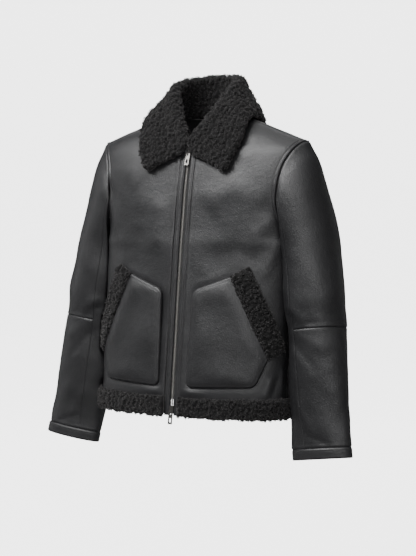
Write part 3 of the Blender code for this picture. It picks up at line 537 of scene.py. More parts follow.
def divide_outline(outline, spacing):
    """The outline with its long straight stretches divided."""
    points = []
    for i, here in enumerate(outline):
        ahead = outline[(i + 1) % len(outline)]
        parts = max(1, int(round(np.linalg.norm(ahead - here) / spacing)))
        points += [here + (ahead - here) * k / parts for k in range(parts)]
    return np.array(points)


POCKET_LINE = divide_outline(rounded_outline(POCKET, 8), .004)
POCKET_TOP = -.30
POCKET_SHARES = (.08, .16, .24, .32, .40, .48, .56, .63, .69, .75, .80, .84, .875, .905, .93, .95, .965,
                 .978, .989, .996, 1.0)


# Materials

def node(tree, kind, **values):
    """A new node with its inputs and settings."""
    item = tree.nodes.new(kind)
    for key, value in values.items():
        if key in item.inputs:
            item.inputs[key].default_value = value
        else:
            setattr(item, key, value)
    return item


def new_material(name, colour, roughness, metallic=0.0, specular=.5):
    """A Principled material and the parts that its details are joined to."""
    material = bpy.data.materials.new(name)
    material.use_nodes = True
    tree = material.node_tree
    shader = tree.nodes["Principled BSDF"]
    shader.inputs["Base Color"].default_value = (*colour, 1)
    shader.inputs["Roughness"].default_value = roughness
    shader.inputs["Metallic"].default_value = metallic
    shader.inputs["Specular IOR Level"].default_value = specular
    place = node(tree, "ShaderNodeTexCoord")
    return material, tree, shader, place.outputs["Object"]


def colour_ramp(tree, source, low, high, first=.3, last=.7):
    """Two colours blended by a value."""
    item = node(tree, "ShaderNodeValToRGB")
    item.color_ramp.elements[0].position = first
    item.color_ramp.elements[0].color = (*low, 1)
    item.color_ramp.elements[1].position = last
    item.color_ramp.elements[1].color = (*high, 1)
    tree.links.new(source, item.inputs["Fac"])
    return item.outputs["Color"]


def spread(tree, source, low, high):
    """A value from 0 to 1 mapped onto a range."""
    item = node(tree, "ShaderNodeMapRange")
    item.inputs["To Min"].default_value = low
    item.inputs["To Max"].default_value = high
    tree.links.new(source, item.inputs["Value"])
    return item.outputs["Result"]


def bump(tree, height, distance, strength, under=None):
    """A bump from a height, laid over another bump."""
    item = node(tree, "ShaderNodeBump", Strength=strength, Distance=distance)
    tree.links.new(height, item.inputs["Height"])
    if under is not None:
        tree.links.new(under, item.inputs["Normal"])
    return item.outputs["Normal"]


def noise(tree, place, scale, detail, roughness=.5, distortion=0.0):
    """The value of a noise texture on the object's own coordinates."""
    item = node(tree, "ShaderNodeTexNoise", Scale=scale, Detail=detail, Roughness=roughness,
                Distortion=distortion)
    tree.links.new(place, item.inputs["Vector"])
    return item.outputs["Fac"]


def shades(colour, dark, light):
    """A darker and a lighter shade of a colour."""
    return tuple(dark * c for c in colour), tuple(light * c for c in colour)


def leather_material(name, colour):
    """Smooth charcoal-black leather: fine pebbled grain, soft mottling, satin gloss."""
    material, tree, shader, place = new_material(name, colour, .43, specular=.75)
    cloud = noise(tree, place, 16.0, 4.0, .55)
    tree.links.new(colour_ramp(tree, cloud, *shades(colour, .86, 1.16)), shader.inputs["Base Color"])
    tree.links.new(spread(tree, cloud, .34, .50), shader.inputs["Roughness"])
    pebbles = node(tree, "ShaderNodeTexVoronoi", Scale=950.0, feature="DISTANCE_TO_EDGE")
    tree.links.new(place, pebbles.inputs["Vector"])
    layer = bump(tree, noise(tree, place, 38.0, 2.0), .0030, .22)
    layer = bump(tree, noise(tree, place, 120.0, 3.0, .6), .0010, .28, layer)
    layer = bump(tree, noise(tree, place, 420.0, 3.0, .6), .00060, .75, layer)
    layer = bump(tree, pebbles.outputs["Distance"], .00028, .8, layer)
    tree.links.new(layer, shader.inputs["Normal"])
    return material


def fur_material(name, dark, light):
    """Curly shearling: matt black wool, its tone varied in clumps, with a faint sheen. The curls get a paler
    copy; the darker copy on the skin between them is painted shade of the gaps.
    """
    material, tree, shader, place = new_material(name, light, .82, specular=.25)
    shader.inputs["Sheen Weight"].default_value = .35
    shader.inputs["Sheen Roughness"].default_value = .45
    shader.inputs["Sheen Tint"].default_value = (.5, .48, .48, 1)
    clump = noise(tree, place, 150.0, 4.0, .7)
    strand = noise(tree, place, 900.0, 3.0, .7, 1.2)
    tree.links.new(colour_ramp(tree, clump, dark, light, .35, .65), shader.inputs["Base Color"])
    tree.links.new(bump(tree, strand, .0008, .9), shader.inputs["Normal"])
    return material


def metal_material(name, colour, roughness):
    """Satin nickel with fine scratches."""
    material, tree, shader, place = new_material(name, colour, roughness, metallic=1.0)
    scratch = noise(tree, place, 1400.0, 2.0)
    gloss = spread(tree, scratch, roughness * .8, roughness * 1.25)
    tree.links.new(gloss, shader.inputs["Roughness"])
    tree.links.new(bump(tree, scratch, .00005, .3), shader.inputs["Normal"])
    return material


def cloth_material(name, colour, size):
    """A woven tape or thread."""
    material, tree, shader, place = new_material(name, colour, .85, specular=.3)
    shader.inputs["Sheen Weight"].default_value = .2
    weave = node(tree, "ShaderNodeTexWave", Scale=size, Distortion=.6, bands_direction="Z")
    tree.links.new(place, weave.inputs["Vector"])
    height = weave.outputs["Fac"]
    tree.links.new(colour_ramp(tree, height, *shades(colour, .7, 1.3)), shader.inputs["Base Color"])
    tree.links.new(bump(tree, height, .0002, .5), shader.inputs["Normal"])
    return material


LEATHER = leather_material("leather", (.0130, .0130, .0143))
# The fur skin between the curls is coloured about three times darker than the curls: painted shade in the
# gaps of the wool.
FUR_SKIN_PAINTED_SHADE = fur_material("fur", (.0030, .0029, .0030), (.0105, .0102, .0104))
FUR_TIPS = fur_material("fur_tips", (.010, .0098, .0099), (.030, .0292, .0294))
METAL = metal_material("zip_metal", (.21, .203, .193), .38)
# The teeth are the sliders' satin metal made about three times lighter. This is partly the chain's own paler
# metal and partly painted light, which makes up for the shade the teeth sit in behind the leather strips.
TEETH_WITH_PAINTED_LIGHT = metal_material("zip_teeth", (.62, .605, .58), .38)
TAPE = cloth_material("zip_tape", (.013, .013, .0135), 1500.0)
THREAD = cloth_material("thread", (.020, .020, .021), 2400.0)


def settle(piece, slot, *nodes):
    """Let a piece ride on the jacket and hide the solids that it stands for; the slot is not used."""
    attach(piece, "jacket")
    if nodes:
        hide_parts(*nodes)


# Stitches

STITCH_PITCH = .0032
STITCH_LONG = .0024
STITCH_HALF = .00042
# Share of the length, share of the thickness
STITCH_PROFILE = ((-.5, .25), (-.3, 1.0), (.3, 1.0), (.5, .25))
# Distances of the rows of stitches from their seams
WELT_LINE, CUFF_LINE, EDGE_LINE, ELBOW_LINE = .0086, .0048, .0032, .0030
STRIP_LINES = (.0036, .0088)


def stitches(name, paths):
    """Short rounded stitches along paths; each path is (points, outward directions)."""
    ring = [(math.cos(a), math.sin(a)) for a in np.radians((45, 135, 225, 315))]
    corners = len(ring)
    points, faces = [], []
    for line, outs in paths:
        run = np.concatenate([[0], np.cumsum(np.linalg.norm(np.diff(line, axis=0), axis=1))])
        for k in range(int(run[-1] / STITCH_PITCH)):
            middle = (k + .5) * STITCH_PITCH
            before, here, after = [
                np.array([np.interp(middle + d, run, line[:, c]) for c in range(3)])
                for d in (-STITCH_LONG / 2, 0, STITCH_LONG / 2)]
            out = np.array([np.interp(middle, run, outs[:, c]) for c in range(3)])
            out /= np.linalg.norm(out)
            axis = after - before
            axis /= np.linalg.norm(axis) + 1e-12
            side = np.cross(axis, out)
            first = len(points)
            for share, wide in STITCH_PROFILE:
                spot = here + axis * STITCH_LONG * share - out * STITCH_HALF * (.5 if wide < 1 else -.1)
                points += [spot + (side * c * 1.15 + out * s) * STITCH_HALF * wide for c, s in ring]
            last = first + corners * (len(STITCH_PROFILE) - 1)
            for a in range(first, last, corners):
                for c in range(corners):
                    d = (c + 1) % corners
                    faces.append((a + c, a + corners + c, a + corners + d, a + d))
            faces.append(tuple(range(first, first + corners)))
            faces.append(tuple(range(last, last + corners))[::-1])
    return make_object(name, points, faces, THREAD)


def line_at(points, normals, gaps, distance, axis):
    """A path on a grid at a fixed distance from one of its edges."""
    line, outs = [], []
    count = points.shape[0] if axis == 1 else points.shape[1]
    for i in range(count):
        row = points[i] if axis == 1 else points[:, i]
        face = normals[i] if axis == 1 else normals[:, i]
        gap = gaps[i] if axis == 1 else gaps[:, i]
        order = np.argsort(gap)
        if gap[order[-1]] < distance:
            continue
        line.append([np.interp(distance, gap[order], row[order, c]) for c in range(3)])
        outs.append([np.interp(distance, gap[order], face[order, c]) for c in range(3)])
    return np.array(line), np.array(outs)


# Leather pieces

def even_levels(low, high, spacing, share=.6):
    """Body levels that lie evenly apart on the skin."""
    trial = np.linspace(low, high, 400)
    line = np.array([level_points(level, [share])[0] for level in trial])
    run = np.concatenate([[0], np.cumsum(np.linalg.norm(np.diff(line, axis=0), axis=1))])
    return np.interp(np.linspace(0, run[-1], int(run[-1] / spacing) + 1), run, trial)


def thicken_ends(count, amount=.13):
    """Shares from 0 to 1 that lie closer together at both ends."""
    u = np.linspace(0, 1, count)
    return u - amount * np.sin(2 * math.pi * u)


def mix_levels(levels, places, offsets):
    """Levels with more of them beside the given places."""
    extra = [place + offset for place in places for offset in offsets]
    return np.unique(np.concatenate([levels, extra]))


# Folds of the body: x y z of both ends, width, height; those of the right side are mirrored in x
FRONT_FOLDS_LEFT = (
    (.190, -.060, -.235, .150, -.088, -.300, .016, -.0022),
    (.196, -.058, -.205, .150, -.090, -.240, .012, .0014),
    (.205, -.050, -.250, .170, -.078, -.330, .011, .0012),
    (.195, -.056, -.150, .165, -.078, -.200, .013, -.0016),
    (.120, -.075, -.120, .060, -.088, -.190, .030, .0030),
    (.150, -.085, -.250, .060, -.102, -.300, .028, -.0026),
    (.203, -.065, -.515, .195, -.075, -.555, .006, -.0020),
    (.208, -.055, -.500, .205, -.058, -.555, .005, .0016),
    (.196, -.078, -.520, .188, -.088, -.556, .006, .0016),
    (.030, -.128, -.550, .175, -.085, -.551, .007, .0042),
    (.020, -.105, -.330, .020, -.122, -.520, .008, .0010),
)
FRONT_FOLDS_RIGHT = (
    (.200, -.055, -.120, .170, -.075, -.180, .012, -.0020),
    (.204, -.048, -.105, .178, -.070, -.150, .008, .0018),
    (.196, -.058, -.170, .160, -.082, -.235, .012, .0018),
    (.195, -.060, -.215, .155, -.088, -.290, .014, -.0020),
    (.055, -.090, -.170, .060, -.098, -.270, .024, .0028),
    (.100, -.090, -.230, .110, -.100, -.320, .026, -.0026),
    (.205, -.060, -.500, .190, -.080, -.555, .008, -.0018),
    (.030, -.128, -.550, .175, -.086, -.551, .007, .0042),
    (.150, -.075, -.110, .110, -.082, -.140, .022, .0018),
)
BACK_FOLDS = (
    (.198, .080, -.170, .140, .118, -.240, .014, -.0024),
    (.204, .060, -.215, .150, .112, -.290, .013, .0018),
    (.190, .090, -.140, .120, .122, -.190, .018, .0016),
    (.000, .125, -.330, .120, .112, -.400, .034, -.0026),
    (.020, .122, -.420, .150, .096, -.470, .030, .0022),
    (.060, .112, -.530, .190, .050, -.545, .014, .0018),
    (.190, .060, -.480, .170, .075, -.555, .009, -.0016),
)


def front_panel(side, word, folds):
    """One front, with its seams, its welts and the bed of the pocket; gives its lines of stitches."""
    levels = even_levels(float(level_at_height(PANEL_BOTTOM)), SHOULDER - .004, .0042)
    levels = mix_levels(levels, (NECK_CORNER, SHOULDER - .02), (-.05, -.025, 0, .012))
    steps = (-.25, -.2, -.16, -.12, -.09, -.06, -.03, -.004)
    levels = mix_levels(levels[levels < SHOULDER], (SHOULDER,), steps)
    points = np.array([level_points(level, thicken_ends(80)) for level in levels])
    normals = grid_normals(points)
    armhole = levels >= UNDERARM_FRONT
    _, up, inner, outer = edge_gaps(points)
    relief = np.where(armhole[:, None], welt_edge(outer), seam_edge(outer))
    relief += welt_edge(up) * .8 + seam_edge(inner) * .8
    low = ~armhole & (points[:, 0, 2] < POCKET_TOP)
    gap = outline_gap((inner + PANEL_EDGE)[low], points[low][..., 2], POCKET_LINE)
    relief[low] += -.0012 * bell(np.maximum(gap, 0), .0045)
    placed = mirror(points, side)
    relief += fold_relief(points, folds) + waves(placed, 5, .11, .0009) + waves(placed, 6, .045, .00022)
    relief *= ramp(np.minimum(inner, .02), -.001, .004) * .5 + .5
    points = points + normals * relief[..., None]
    shown, facing = mirror(points, side), mirror(grid_normals(points), side)
    piece = shell(f"leather_front_{word}", shown, facing, LEATHER, flip=side > 0)
    settle(piece, "leather", f"front_{word}")
    line, outs = line_at(shown, facing, outer, WELT_LINE, 1)
    keep = slice(int(armhole.argmax()), None)
    return [(line[keep], outs[keep]), line_at(shown, facing, up, WELT_LINE, 0)]


def back_panel():
    """The back in one piece, with a welt along each armhole; gives its lines of stitches."""
    levels = even_levels(SHOULDER + .004, HEM_BACK - float(level_at_height(PANEL_BOTTOM)), .0048)
    levels = mix_levels(levels, (BACK_NECK,), (-.03, 0, .03))
    levels = mix_levels(levels, (SHOULDER,), (.02, .05, .09, .13))
    half = np.array([level_points(level, thicken_ends(82)) for level in levels])
    normals = grid_normals(half)
    whole = levels > BACK_NECK
    normals[whole, 0, 0] = 0
    down, _, _, outer = edge_gaps(half)
    armhole = levels <= UNDERARM_BACK
    base = np.where(armhole[:, None], welt_edge(outer), seam_edge(outer)) + seam_edge(down)
    grids, lines = [], []
    for side, depth in ((1, 1.0), (-1, .8)):
        placed = mirror(half, side)
        relief = base + fold_relief(half, BACK_FOLDS) * depth
        relief += waves(placed, 8, .13, .0012) + waves(placed, 9, .05, .00025)
        grid = mirror(half + normals * relief[..., None], side)
        grids.append(grid)
        line, outs = line_at(grid, grid_normals(grid) * side, outer, WELT_LINE, 1)
        keep = slice(0, int(armhole.sum()))
        lines.append((line[keep], outs[keep]))
    neck = int(whole.argmax())
    lower = np.concatenate([grids[1][neck:, :0:-1], grids[0][neck:]], axis=1)
    facing = grid_normals(lower)
    if facing[len(lower) // 2, lower.shape[1] // 2, 1] < 0:
        facing = -facing
    parts = [shell("below_neck", lower, facing, LEATHER)]
    for side, grid in zip((1, -1), grids):
        upper = grid[:neck + 1]
        parts.append(shell("shoulder", upper, grid_normals(upper) * side, LEATHER, flip=side < 0))
    piece = join(parts, "leather_back")
    settle(piece, "leather", "back")
    return lines


def join(items, name):
    """Several leather meshes as one object."""
    points, faces = [], []
    for item in items:
        first = len(points)
        points += [tuple(v.co) for v in item.data.vertices]
        faces += [tuple(i + first for i in polygon.vertices) for polygon in item.data.polygons]
        bpy.data.objects.remove(item)
    return make_object(name, points, faces, LEATHER)


# Folds of a sleeve: ring and turn (degrees) of both ends, width, height
SLEEVE_FOLDS = (
    (.60, 40, 1.8, 30, .014, .0010),
    (2.2, 60, 2.9, 95, .011, .0018),
    (2.5, 50, 2.95, 120, .008, -.0018),
    (2.4, 240, 3.0, 180, .013, .0020),
    (2.7, 300, 3.0, 230, .009, -.0018),
    (3.05, 70, 3.5, 130, .012, .0018),
    (3.2, 60, 3.9, 110, .009, -.0014),
    (3.1, 300, 3.7, 240, .012, .0020),
    (4.0, 100, 5.2, 160, .016, -.0014),
    (4.4, 60, 5.6, 90, .010, .0016),
    (4.6, 200, 5.7, 160, .014, .0014),
    (5.2, 70, 5.9, 120, .007, -.0012),
    (1.0, 170, 2.4, 150, .018, .0022),
    (.3, 200, 1.6, 190, .020, -.0018),
    (1.2, 280, 2.3, 250, .014, -.0020),
)


def sleeve_fold_lines():
    """The folds of a sleeve as pairs of places."""
    rows = []
    for ring_a, turn_a, ring_b, turn_b, width, height in SLEEVE_FOLDS:
        start = sleeve_ring(ring_a, np.radians([float(turn_a)]))[0]
        end = sleeve_ring(ring_b, np.radians([float(turn_b)]))[0]
        rows.append((*start, *end, width, height))
    return rows


def smooth_head(skin, rings, turns):
    """Even out the sleeve's head, in place, where it leaves the shoulder."""
    share = (ramp(rings, .02, .10) * ramp(-rings, -.9, -.6))[1:-1, None, None]
    share = share * ramp(-np.cos(turns), .1, .5)[None, :, None]
    for _ in range(40):
        around = (skin[:-2] + skin[2:] + np.roll(skin, 1, 1)[1:-1] + np.roll(skin, -1, 1)[1:-1]) / 4
        skin[1:-1] += (around - skin[1:-1]) * share * .7


def sleeve(side, word):
    """The four cut pieces of one sleeve, from one fine skin; gives its lines of stitches."""
    rings = np.concatenate([
        np.linspace(0, .1, 6)[:-1], np.linspace(.1, 1, 36)[:-1], np.linspace(1, 2.94, 44)[:-1],
        [2.94, 2.96, 2.98, 2.999, 3.001, 3.02, 3.04], np.linspace(3.06, 5.94, 60),
        [5.96, 5.98, 5.999, 6.001, 6.05, 6.1, 6.15, 6.2], np.linspace(6.3, 6.98, 9), [7.0]])
    turns = thicken(np.radians([FRONT_SEAM - 360, BACK_SEAM - 360, FRONT_SEAM]), 82, 50)
    skin = np.array([sleeve_ring(ring, turns[:-1]) for ring in rings])
    smooth_head(skin, rings, turns[:-1])
    normals = grid_normals(np.concatenate([skin[:, -2:], skin, skin[:, :3]], axis=1))[:, 2:-3]
    if ((skin - skin.mean(axis=1, keepdims=True)) * normals).sum() < 0:
        normals = -normals
    skin, normals = [np.concatenate([grid, grid[:, :1]], axis=1) for grid in (skin, normals)]
    back = int(np.argmin(np.abs(turns - math.radians(BACK_SEAM - 360))))
    elbow, cuff = (int(np.searchsorted(rings, ring)) for ring in (ELBOW_RING, CUFF_RING))
    placed = mirror(skin, side)
    shape = fold_relief(skin, sleeve_fold_lines()) + waves(placed, 15, .10, .0012)
    shape += waves(placed, 16, .04, .0003)
    shape += .0030 * bell(rings - .22, .30)[:, None] * ramp(-np.cos(turns), -.2, .8)
    shape *= ramp(rings, -.02, .2)[:, None]
    parts = (
        ("sleeve_upper", slice(0, elbow), slice(0, back + 1), elbow_edge),
        ("sleeve_forearm", slice(elbow, cuff), slice(0, back + 1), seam_edge),
        ("sleeve_under", slice(0, cuff), slice(back, None), seam_edge),
        ("cuff", slice(cuff, None), slice(None), free_edge),
    )
    lines = []
    for part, rows, columns, last_edge in parts:
        tube = part == "cuff"
        points, facing = skin[rows, columns], normals[rows, columns]
        down, up, first, last = edge_gaps(points)
        relief = shape[rows, columns] * (.35 if tube else 1) + seam_edge(down) + last_edge(up)
        if tube:
            relief += .0009 * ramp(down, .001, .004) - .0007 * bell(down - CUFF_LINE, .0011)
        else:
            relief += .45 * (seam_edge(first) + seam_edge(last))
        points = points + facing * relief[..., None]
        if tube:
            points[:, -1] = points[:, 0]
        shown, facing = mirror(points, side), mirror(facing, side)
        used = slice(0, -1 if tube else None)
        name = f"leather_{part.removeprefix('sleeve_')}_{word}"
        piece = shell(name, shown[:, used], facing[:, used], LEATHER, wrap=tube, flip=side < 0)
        settle(piece, "leather", f"{part}_{word}")
        if tube:
            lines += [line_at(shown, facing, down, CUFF_LINE, 0), line_at(shown, facing, up, EDGE_LINE, 0)]
        if part == "sleeve_forearm":
            lines.append(line_at(shown, facing, down, ELBOW_LINE, 0))
    return lines


def elbow_edge(gap):
    """The upper sleeve laps over the elbow seam with a soft roll."""
    return -.0008 * bell(gap, .0010) + .0005 * bell(gap - .0035, .0024)


def thicken(stops, *counts):
    """Values between stops, closer together at each stop."""
    values = []
    for a, b, count in zip(stops[:-1], stops[1:], counts):
        values.append(a + (b - a) * thicken_ends(count, .10)[:-1])
    return np.concatenate(values + [[stops[-1]]])


def pocket(side, word):
    """A patch pocket: a softly filled face with a rounded, stitched edge."""
    middle = POCKET_LINE.mean(axis=0)
    along, height, lift = [], [], []
    for share in POCKET_SHARES:
        spots = middle + (POCKET_LINE - middle) * share
        edge = np.linalg.norm(spots[:, None] - POCKET_LINE[None], axis=2)
        gap = np.maximum(edge.min(axis=1) - .0001, 0)
        inward = (edge ** -2.0).mean(axis=1) ** -.5 if share < 1 else np.zeros(len(spots))
        along.append(spots[:, 0])
        height.append(spots[:, 1])
        rise = .0034 * np.sqrt(np.clip(1 - (1 - np.minimum(gap / .0036, 1)) ** 2, 0, 1))
        puff = .0042 * ramp(inward, .004, .075)
        groove = -.0004 * bell(gap - .0058, .0012)
        wave = .0009 * np.sin(spots[:, 0] * 49 + spots[:, 1] * 31) + .0006 * np.sin(spots[:, 1] * 63 - 2)
        lift.append(.0004 + rise + puff + groove + wave * ramp(gap, .004, .03))
    along, height, lift = np.array(along), np.array(height), np.array(lift)
    points = front_spots(along, height, lift)
    hub = front_spots(middle[:1], middle[1:], np.array([lift[0].mean()]))
    under = front_spots(along[-1], height[-1], np.full(len(POCKET_LINE), -.0003))
    rows, columns = points.shape[:2]
    flat = np.concatenate([points.reshape(-1, 3), under, hub, hub - np.array([[0, -.004, 0]])])
    faces = quads(rows + 1, columns, wrap=True)
    hub_at, last = (rows + 1) * columns, rows * columns
    faces += [((c + 1) % columns, c, hub_at) for c in range(columns)]
    faces += [(last + c, last + (c + 1) % columns, hub_at + 1) for c in range(columns)]
    if side > 0:
        faces = [face[::-1] for face in faces]
    piece = make_object(f"leather_pocket_{word}", mirror(flat, side), faces, LEATHER)
    settle(piece, "leather", f"pocket_{word}")


# Zip

ZIP_ROWS = read(BODY_ROWS, np.linspace(-.2, 11.5, 400))[:, :2]
STRIP_TOP = -.0642
TOOTH_PITCH = .0025
# Height and reach of a tooth's corners, then the depth and height share of its layers
TOOTH = ((-.00075, -.0026), (-.00075, -.0011), (-.00095, .0003), (-.0005, .0007),
         (.0005, .0007), (.00095, .0003), (.00075, -.0011), (.00075, -.0026))
TOOTH_LAYERS = ((-.0011, .72), (-.00075, 1), (.00095, 1))


def zip_line(x, height, behind):
    """A point of the centre front at this height, this far behind its outer face."""
    return np.array([x, np.interp(height, ZIP_ROWS[:, 1], ZIP_ROWS[:, 0]) + behind, height])


def zip_strip(side, word):
    """The narrow leather strip beside the zip, with two rows of stitching; gives their lines."""
    x = ZIP_OPENING + (STRIP_EDGE - ZIP_OPENING) * thicken_ends(17, .08)
    section = -.0016 * bell(x - ZIP_OPENING, .0016) - .0010 * bell(x - STRIP_EDGE, .0010)
    section += .0009 * ramp(x, ZIP_OPENING + .001, ZIP_OPENING + .004)
    section -= .0005 * (bell(x - .0085, .0009) + bell(x - .0138, .0009))
    points = np.array([[zip_line(v, h, -lift + .0010 * (v / STRIP_EDGE) ** 2)
                        for v, lift in zip(x, section)] for h in np.linspace(STRIP_TOP, HEM_BOTTOM, 170)])
    points[..., 1] += .0004 * np.sin(points[..., 2] * 47 + side) * ramp(points[..., 0], .006, .012)
    normals = grid_normals(points)
    if normals[80, 8, 1] > 0:
        normals = -normals
    shown, facing = mirror(points, side), mirror(normals, side)
    piece = shell(f"leather_zip_strip_{word}", shown, facing, LEATHER, wall=.0026, flip=side < 0)
    settle(piece, "leather", f"zip_strip_{word}")
    gap = run_along(points, 1)
    return [line_at(shown, facing, gap, distance, 1) for distance in STRIP_LINES]


def zip_teeth():
    """Two rows of meshed metal teeth down the centre front."""
    points, faces = [], []
    corners = len(TOOTH)
    for row in (1, -1):
        for k in range(int((TOP_SLIDER - BOTTOM_SLIDER) / TOOTH_PITCH)):
            height = TOP_SLIDER - (k + (.25 if row > 0 else .75)) * TOOTH_PITCH
            spot = zip_line(0, height, CHAIN_BACK)
            first = len(points)
            made = []
            for depth, shrink in TOOTH_LAYERS:
                points += [spot + np.array([-row * x, depth, z * shrink]) for z, x in TOOTH]
            for a in (first, first + corners):
                for c in range(corners):
                    d = (c + 1) % corners
                    made.append((a + c, a + d, a + corners + d, a + corners + c))
            made.append(tuple(range(first, first + corners))[::-1])
            made.append(tuple(range(first + 2 * corners, first + 3 * corners)))
            faces += made if row > 0 else [face[::-1] for face in made]
    # The teeth wear the lighter metal, which is partly painted light against the shade behind the strips.
    piece = make_object("zip_teeth", points, faces, TEETH_WITH_PAINTED_LIGHT)
    piece.data.shade_flat()
    settle(piece, "zip_metal", "zip_chain")


def metal_parts():
    """The sliders and pull tabs in satin metal, with softened edges."""
    for name, body in (("slider_top", "jacket"), ("slider_bottom", "jacket"),
                       ("pull_top", "pull_top"), ("pull_bottom", "pull_bottom")):
        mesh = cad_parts[name].data.copy()
        mesh.materials.clear()
        mesh.materials.append(METAL)
        piece = bpy.data.objects.new(f"metal_{name}", mesh)
        bpy.context.scene.collection.objects.link(piece)
        soften = piece.modifiers.new("edges", "BEVEL")
        soften.width = .00022
        soften.segments = 2
        soften.limit_method = "ANGLE"
        soften.angle_limit = math.radians(35)
        piece.modifiers.new("normals", "WEIGHTED_NORMAL")
        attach(piece, body)
        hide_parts(name)


def zip_tape(side, word):
    """The woven tape that carries one row of teeth, behind the leather strip."""
    low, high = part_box(f"zip_tape_{word}")
    near, far = sorted((abs(low[0]), abs(high[0])))
    points = np.array([[zip_line(x, h, WALL + .0004) for x in np.linspace(near, far, 7)]
                       for h in np.linspace(high[2], low[2], 90)])
    normals = np.zeros(points.shape) + np.array([0, -1.0, 0])
    piece = shell(f"zip_tape_cloth_{word}", mirror(points, side), normals, TAPE, wall=.0006, flip=side < 0)
    settle(piece, "zip_tape", f"zip_tape_{word}")


# Fur

CURL_RADIUS = .00150
CURL_WIRE = .00085
CURL_SIDES = 3
CURL_TAPER = (.70, 1.0, 1.0, .85, .65, .28)
CURL_LEAN = np.array([0, 0, -.6])


def lumps(points, normals, seed, spacing, height):
    """Small round clumps pushed up out of a fur surface."""
    rng = np.random.default_rng(seed)
    flat = points.reshape(-1, 3)
    finder = point_tree(flat)
    order = rng.permutation(len(flat))
    taken = np.zeros(len(flat), bool)
    tops = []
    for i in order:
        if taken[i]:
            continue
        tops.append(flat[i] + rng.normal(size=3) * spacing * .12)
        for _, j, _ in finder.find_range(flat[i], spacing * rng.uniform(.75, 1.15)):
            taken[j] = True
    tree = point_tree(tops)
    sizes = rng.uniform(.7, 1.15, len(tops))
    lift = np.zeros(len(flat))
    for i, point in enumerate(flat):
        _, j, gap = tree.find(point)
        lift[i] = sizes[j] * math.sqrt(max(0.0, 1 - min(1.0, gap / (spacing * .62)) ** 2))
    return points + normals * (height * lift.reshape(points.shape[:-1]))[..., None]


def curls(name, points, normals, seed, share, size):
    """Little curled locks of wool on a share of the cells of a surface grid."""
    rng = np.random.default_rng(seed)
    rows, columns = points.shape[:2]
    r, c = np.indices((rows - 1, columns - 1)).reshape(2, -1)
    keep = rng.uniform(size=len(r)) < share
    r, c = r[keep], c[keep]
    count = len(r)
    u, v = rng.uniform(size=(2, count))[..., None]

    def blend(grid):
        return (grid[r, c] * (1 - u) * (1 - v) + grid[r, c + 1] * (1 - u) * v
                + grid[r + 1, c] * u * (1 - v) + grid[r + 1, c + 1] * u * v)

    root, up = blend(points), unit(blend(normals))
    side = rng.normal(size=(count, 3)) + CURL_LEAN
    side = unit(side - up * (side * up).sum(axis=1)[:, None])
    third = np.cross(up, side)
    radius = CURL_RADIUS * size * rng.uniform(.6, 1.3, count)[:, None]
    twist = rng.uniform(-.0018, .0018, count)[:, None] * size
    reach = np.radians(rng.uniform(190, 330, count))[:, None]
    wire = CURL_WIRE * size * rng.uniform(.7, 1.25, count)[:, None]
    steps = len(CURL_TAPER)
    spine = []
    for f in np.linspace(0, 1, steps):
        angle = reach * f - .7
        loop = radius * (1 - .40 * f)
        spine.append(root + side * np.sin(angle) * loop * 1.15 + third * twist * (f - .5) * 2
                     + up * (loop * (.35 - .75 * np.cos(angle)) + wire * .3))
    spine = np.stack(spine, 1)
    thick = np.stack([wire * taper for taper in CURL_TAPER], 1)
    tangent = unit(np.gradient(spine, axis=1))
    one = unit(np.cross(tangent, third[:, None, :]))
    two = np.cross(tangent, one)
    ring = [spine + (one * math.cos(a) + two * math.sin(a)) * thick
            for a in np.linspace(0, 2 * math.pi, CURL_SIDES, endpoint=False)]
    tube = np.stack(ring, 2).reshape(-1, 3)
    cell = np.array(quads(steps, CURL_SIDES, wrap=True))
    base = (np.arange(count) * steps * CURL_SIDES)[:, None, None]
    return make_object(name, tube, (base + cell).reshape(-1, 4).tolist(), FUR_TIPS)


# Cross-section of a fur trim: share of its width, share of its depth
TRIM_TOP = 34
TRIM_SECTION = [(.5 - .5 * math.copysign(abs(math.cos(a)) ** .75, math.cos(a)), 1.06 * math.sin(a) ** .42)
                for a in np.linspace(0, math.pi, TRIM_TOP)] + [(.66, 0.0), (.33, 0.0)]


def pocket_trim(side, word):
    """The fur band on the slanted edge of a pocket."""
    top, bottom = POCKET[0, :2], POCKET[4, :2]
    length = np.linalg.norm(bottom - top)
    down = (bottom - top) / length
    out = np.array([-down[1], down[0]])
    shares = np.concatenate([[0, .006, .015, .03], np.linspace(.045, .955, 96), [.97, .985, .994, 1]])
    rows = []
    for share in shares:
        ends = min(share, 1 - share) / .06
        fill = math.sqrt(1 - (1 - min(1, ends)) ** 2) * .62 + .38
        wobble = 1 + .020 * math.sin(share * 31 + side) + .012 * math.sin(share * 67)
        row = []
        for across, depth in TRIM_SECTION:
            tuck = (1 - fill) * .16 * across
            spot = top + down * length * share + out * (.0005 + TRIM_WIDTH * wobble * (across - tuck))
            row.append((spot[0], spot[1], .0004 + FUR_DEPTH * .66 * depth * fill))
        rows.append(row)
    along, height, lift = np.moveaxis(np.array(rows), 2, 0)
    fur_band(f"fur_pocket_{word}", front_spots(along, height, lift), side, f"pocket_trim_{word}", 31)


def fur_skin(name, points, *nodes):
    """A closed skin of fur from a loft of sections, in its place in the frame."""
    rows, columns = points.shape[:2]
    faces = quads(rows, columns, wrap=True)
    faces.append(tuple(range(columns))[::-1])
    faces.append(tuple((rows - 1) * columns + c for c in range(columns)))
    # The skin wears the darker fur: painted shade in the gaps between the curls.
    skin = make_object(name, points, faces, FUR_SKIN_PAINTED_SHADE)
    work = bmesh.new()
    work.from_mesh(skin.data)
    bmesh.ops.recalc_face_normals(work, faces=work.faces)
    work.to_mesh(skin.data)
    work.free()
    settle(skin, "fur", *nodes)
    return skin


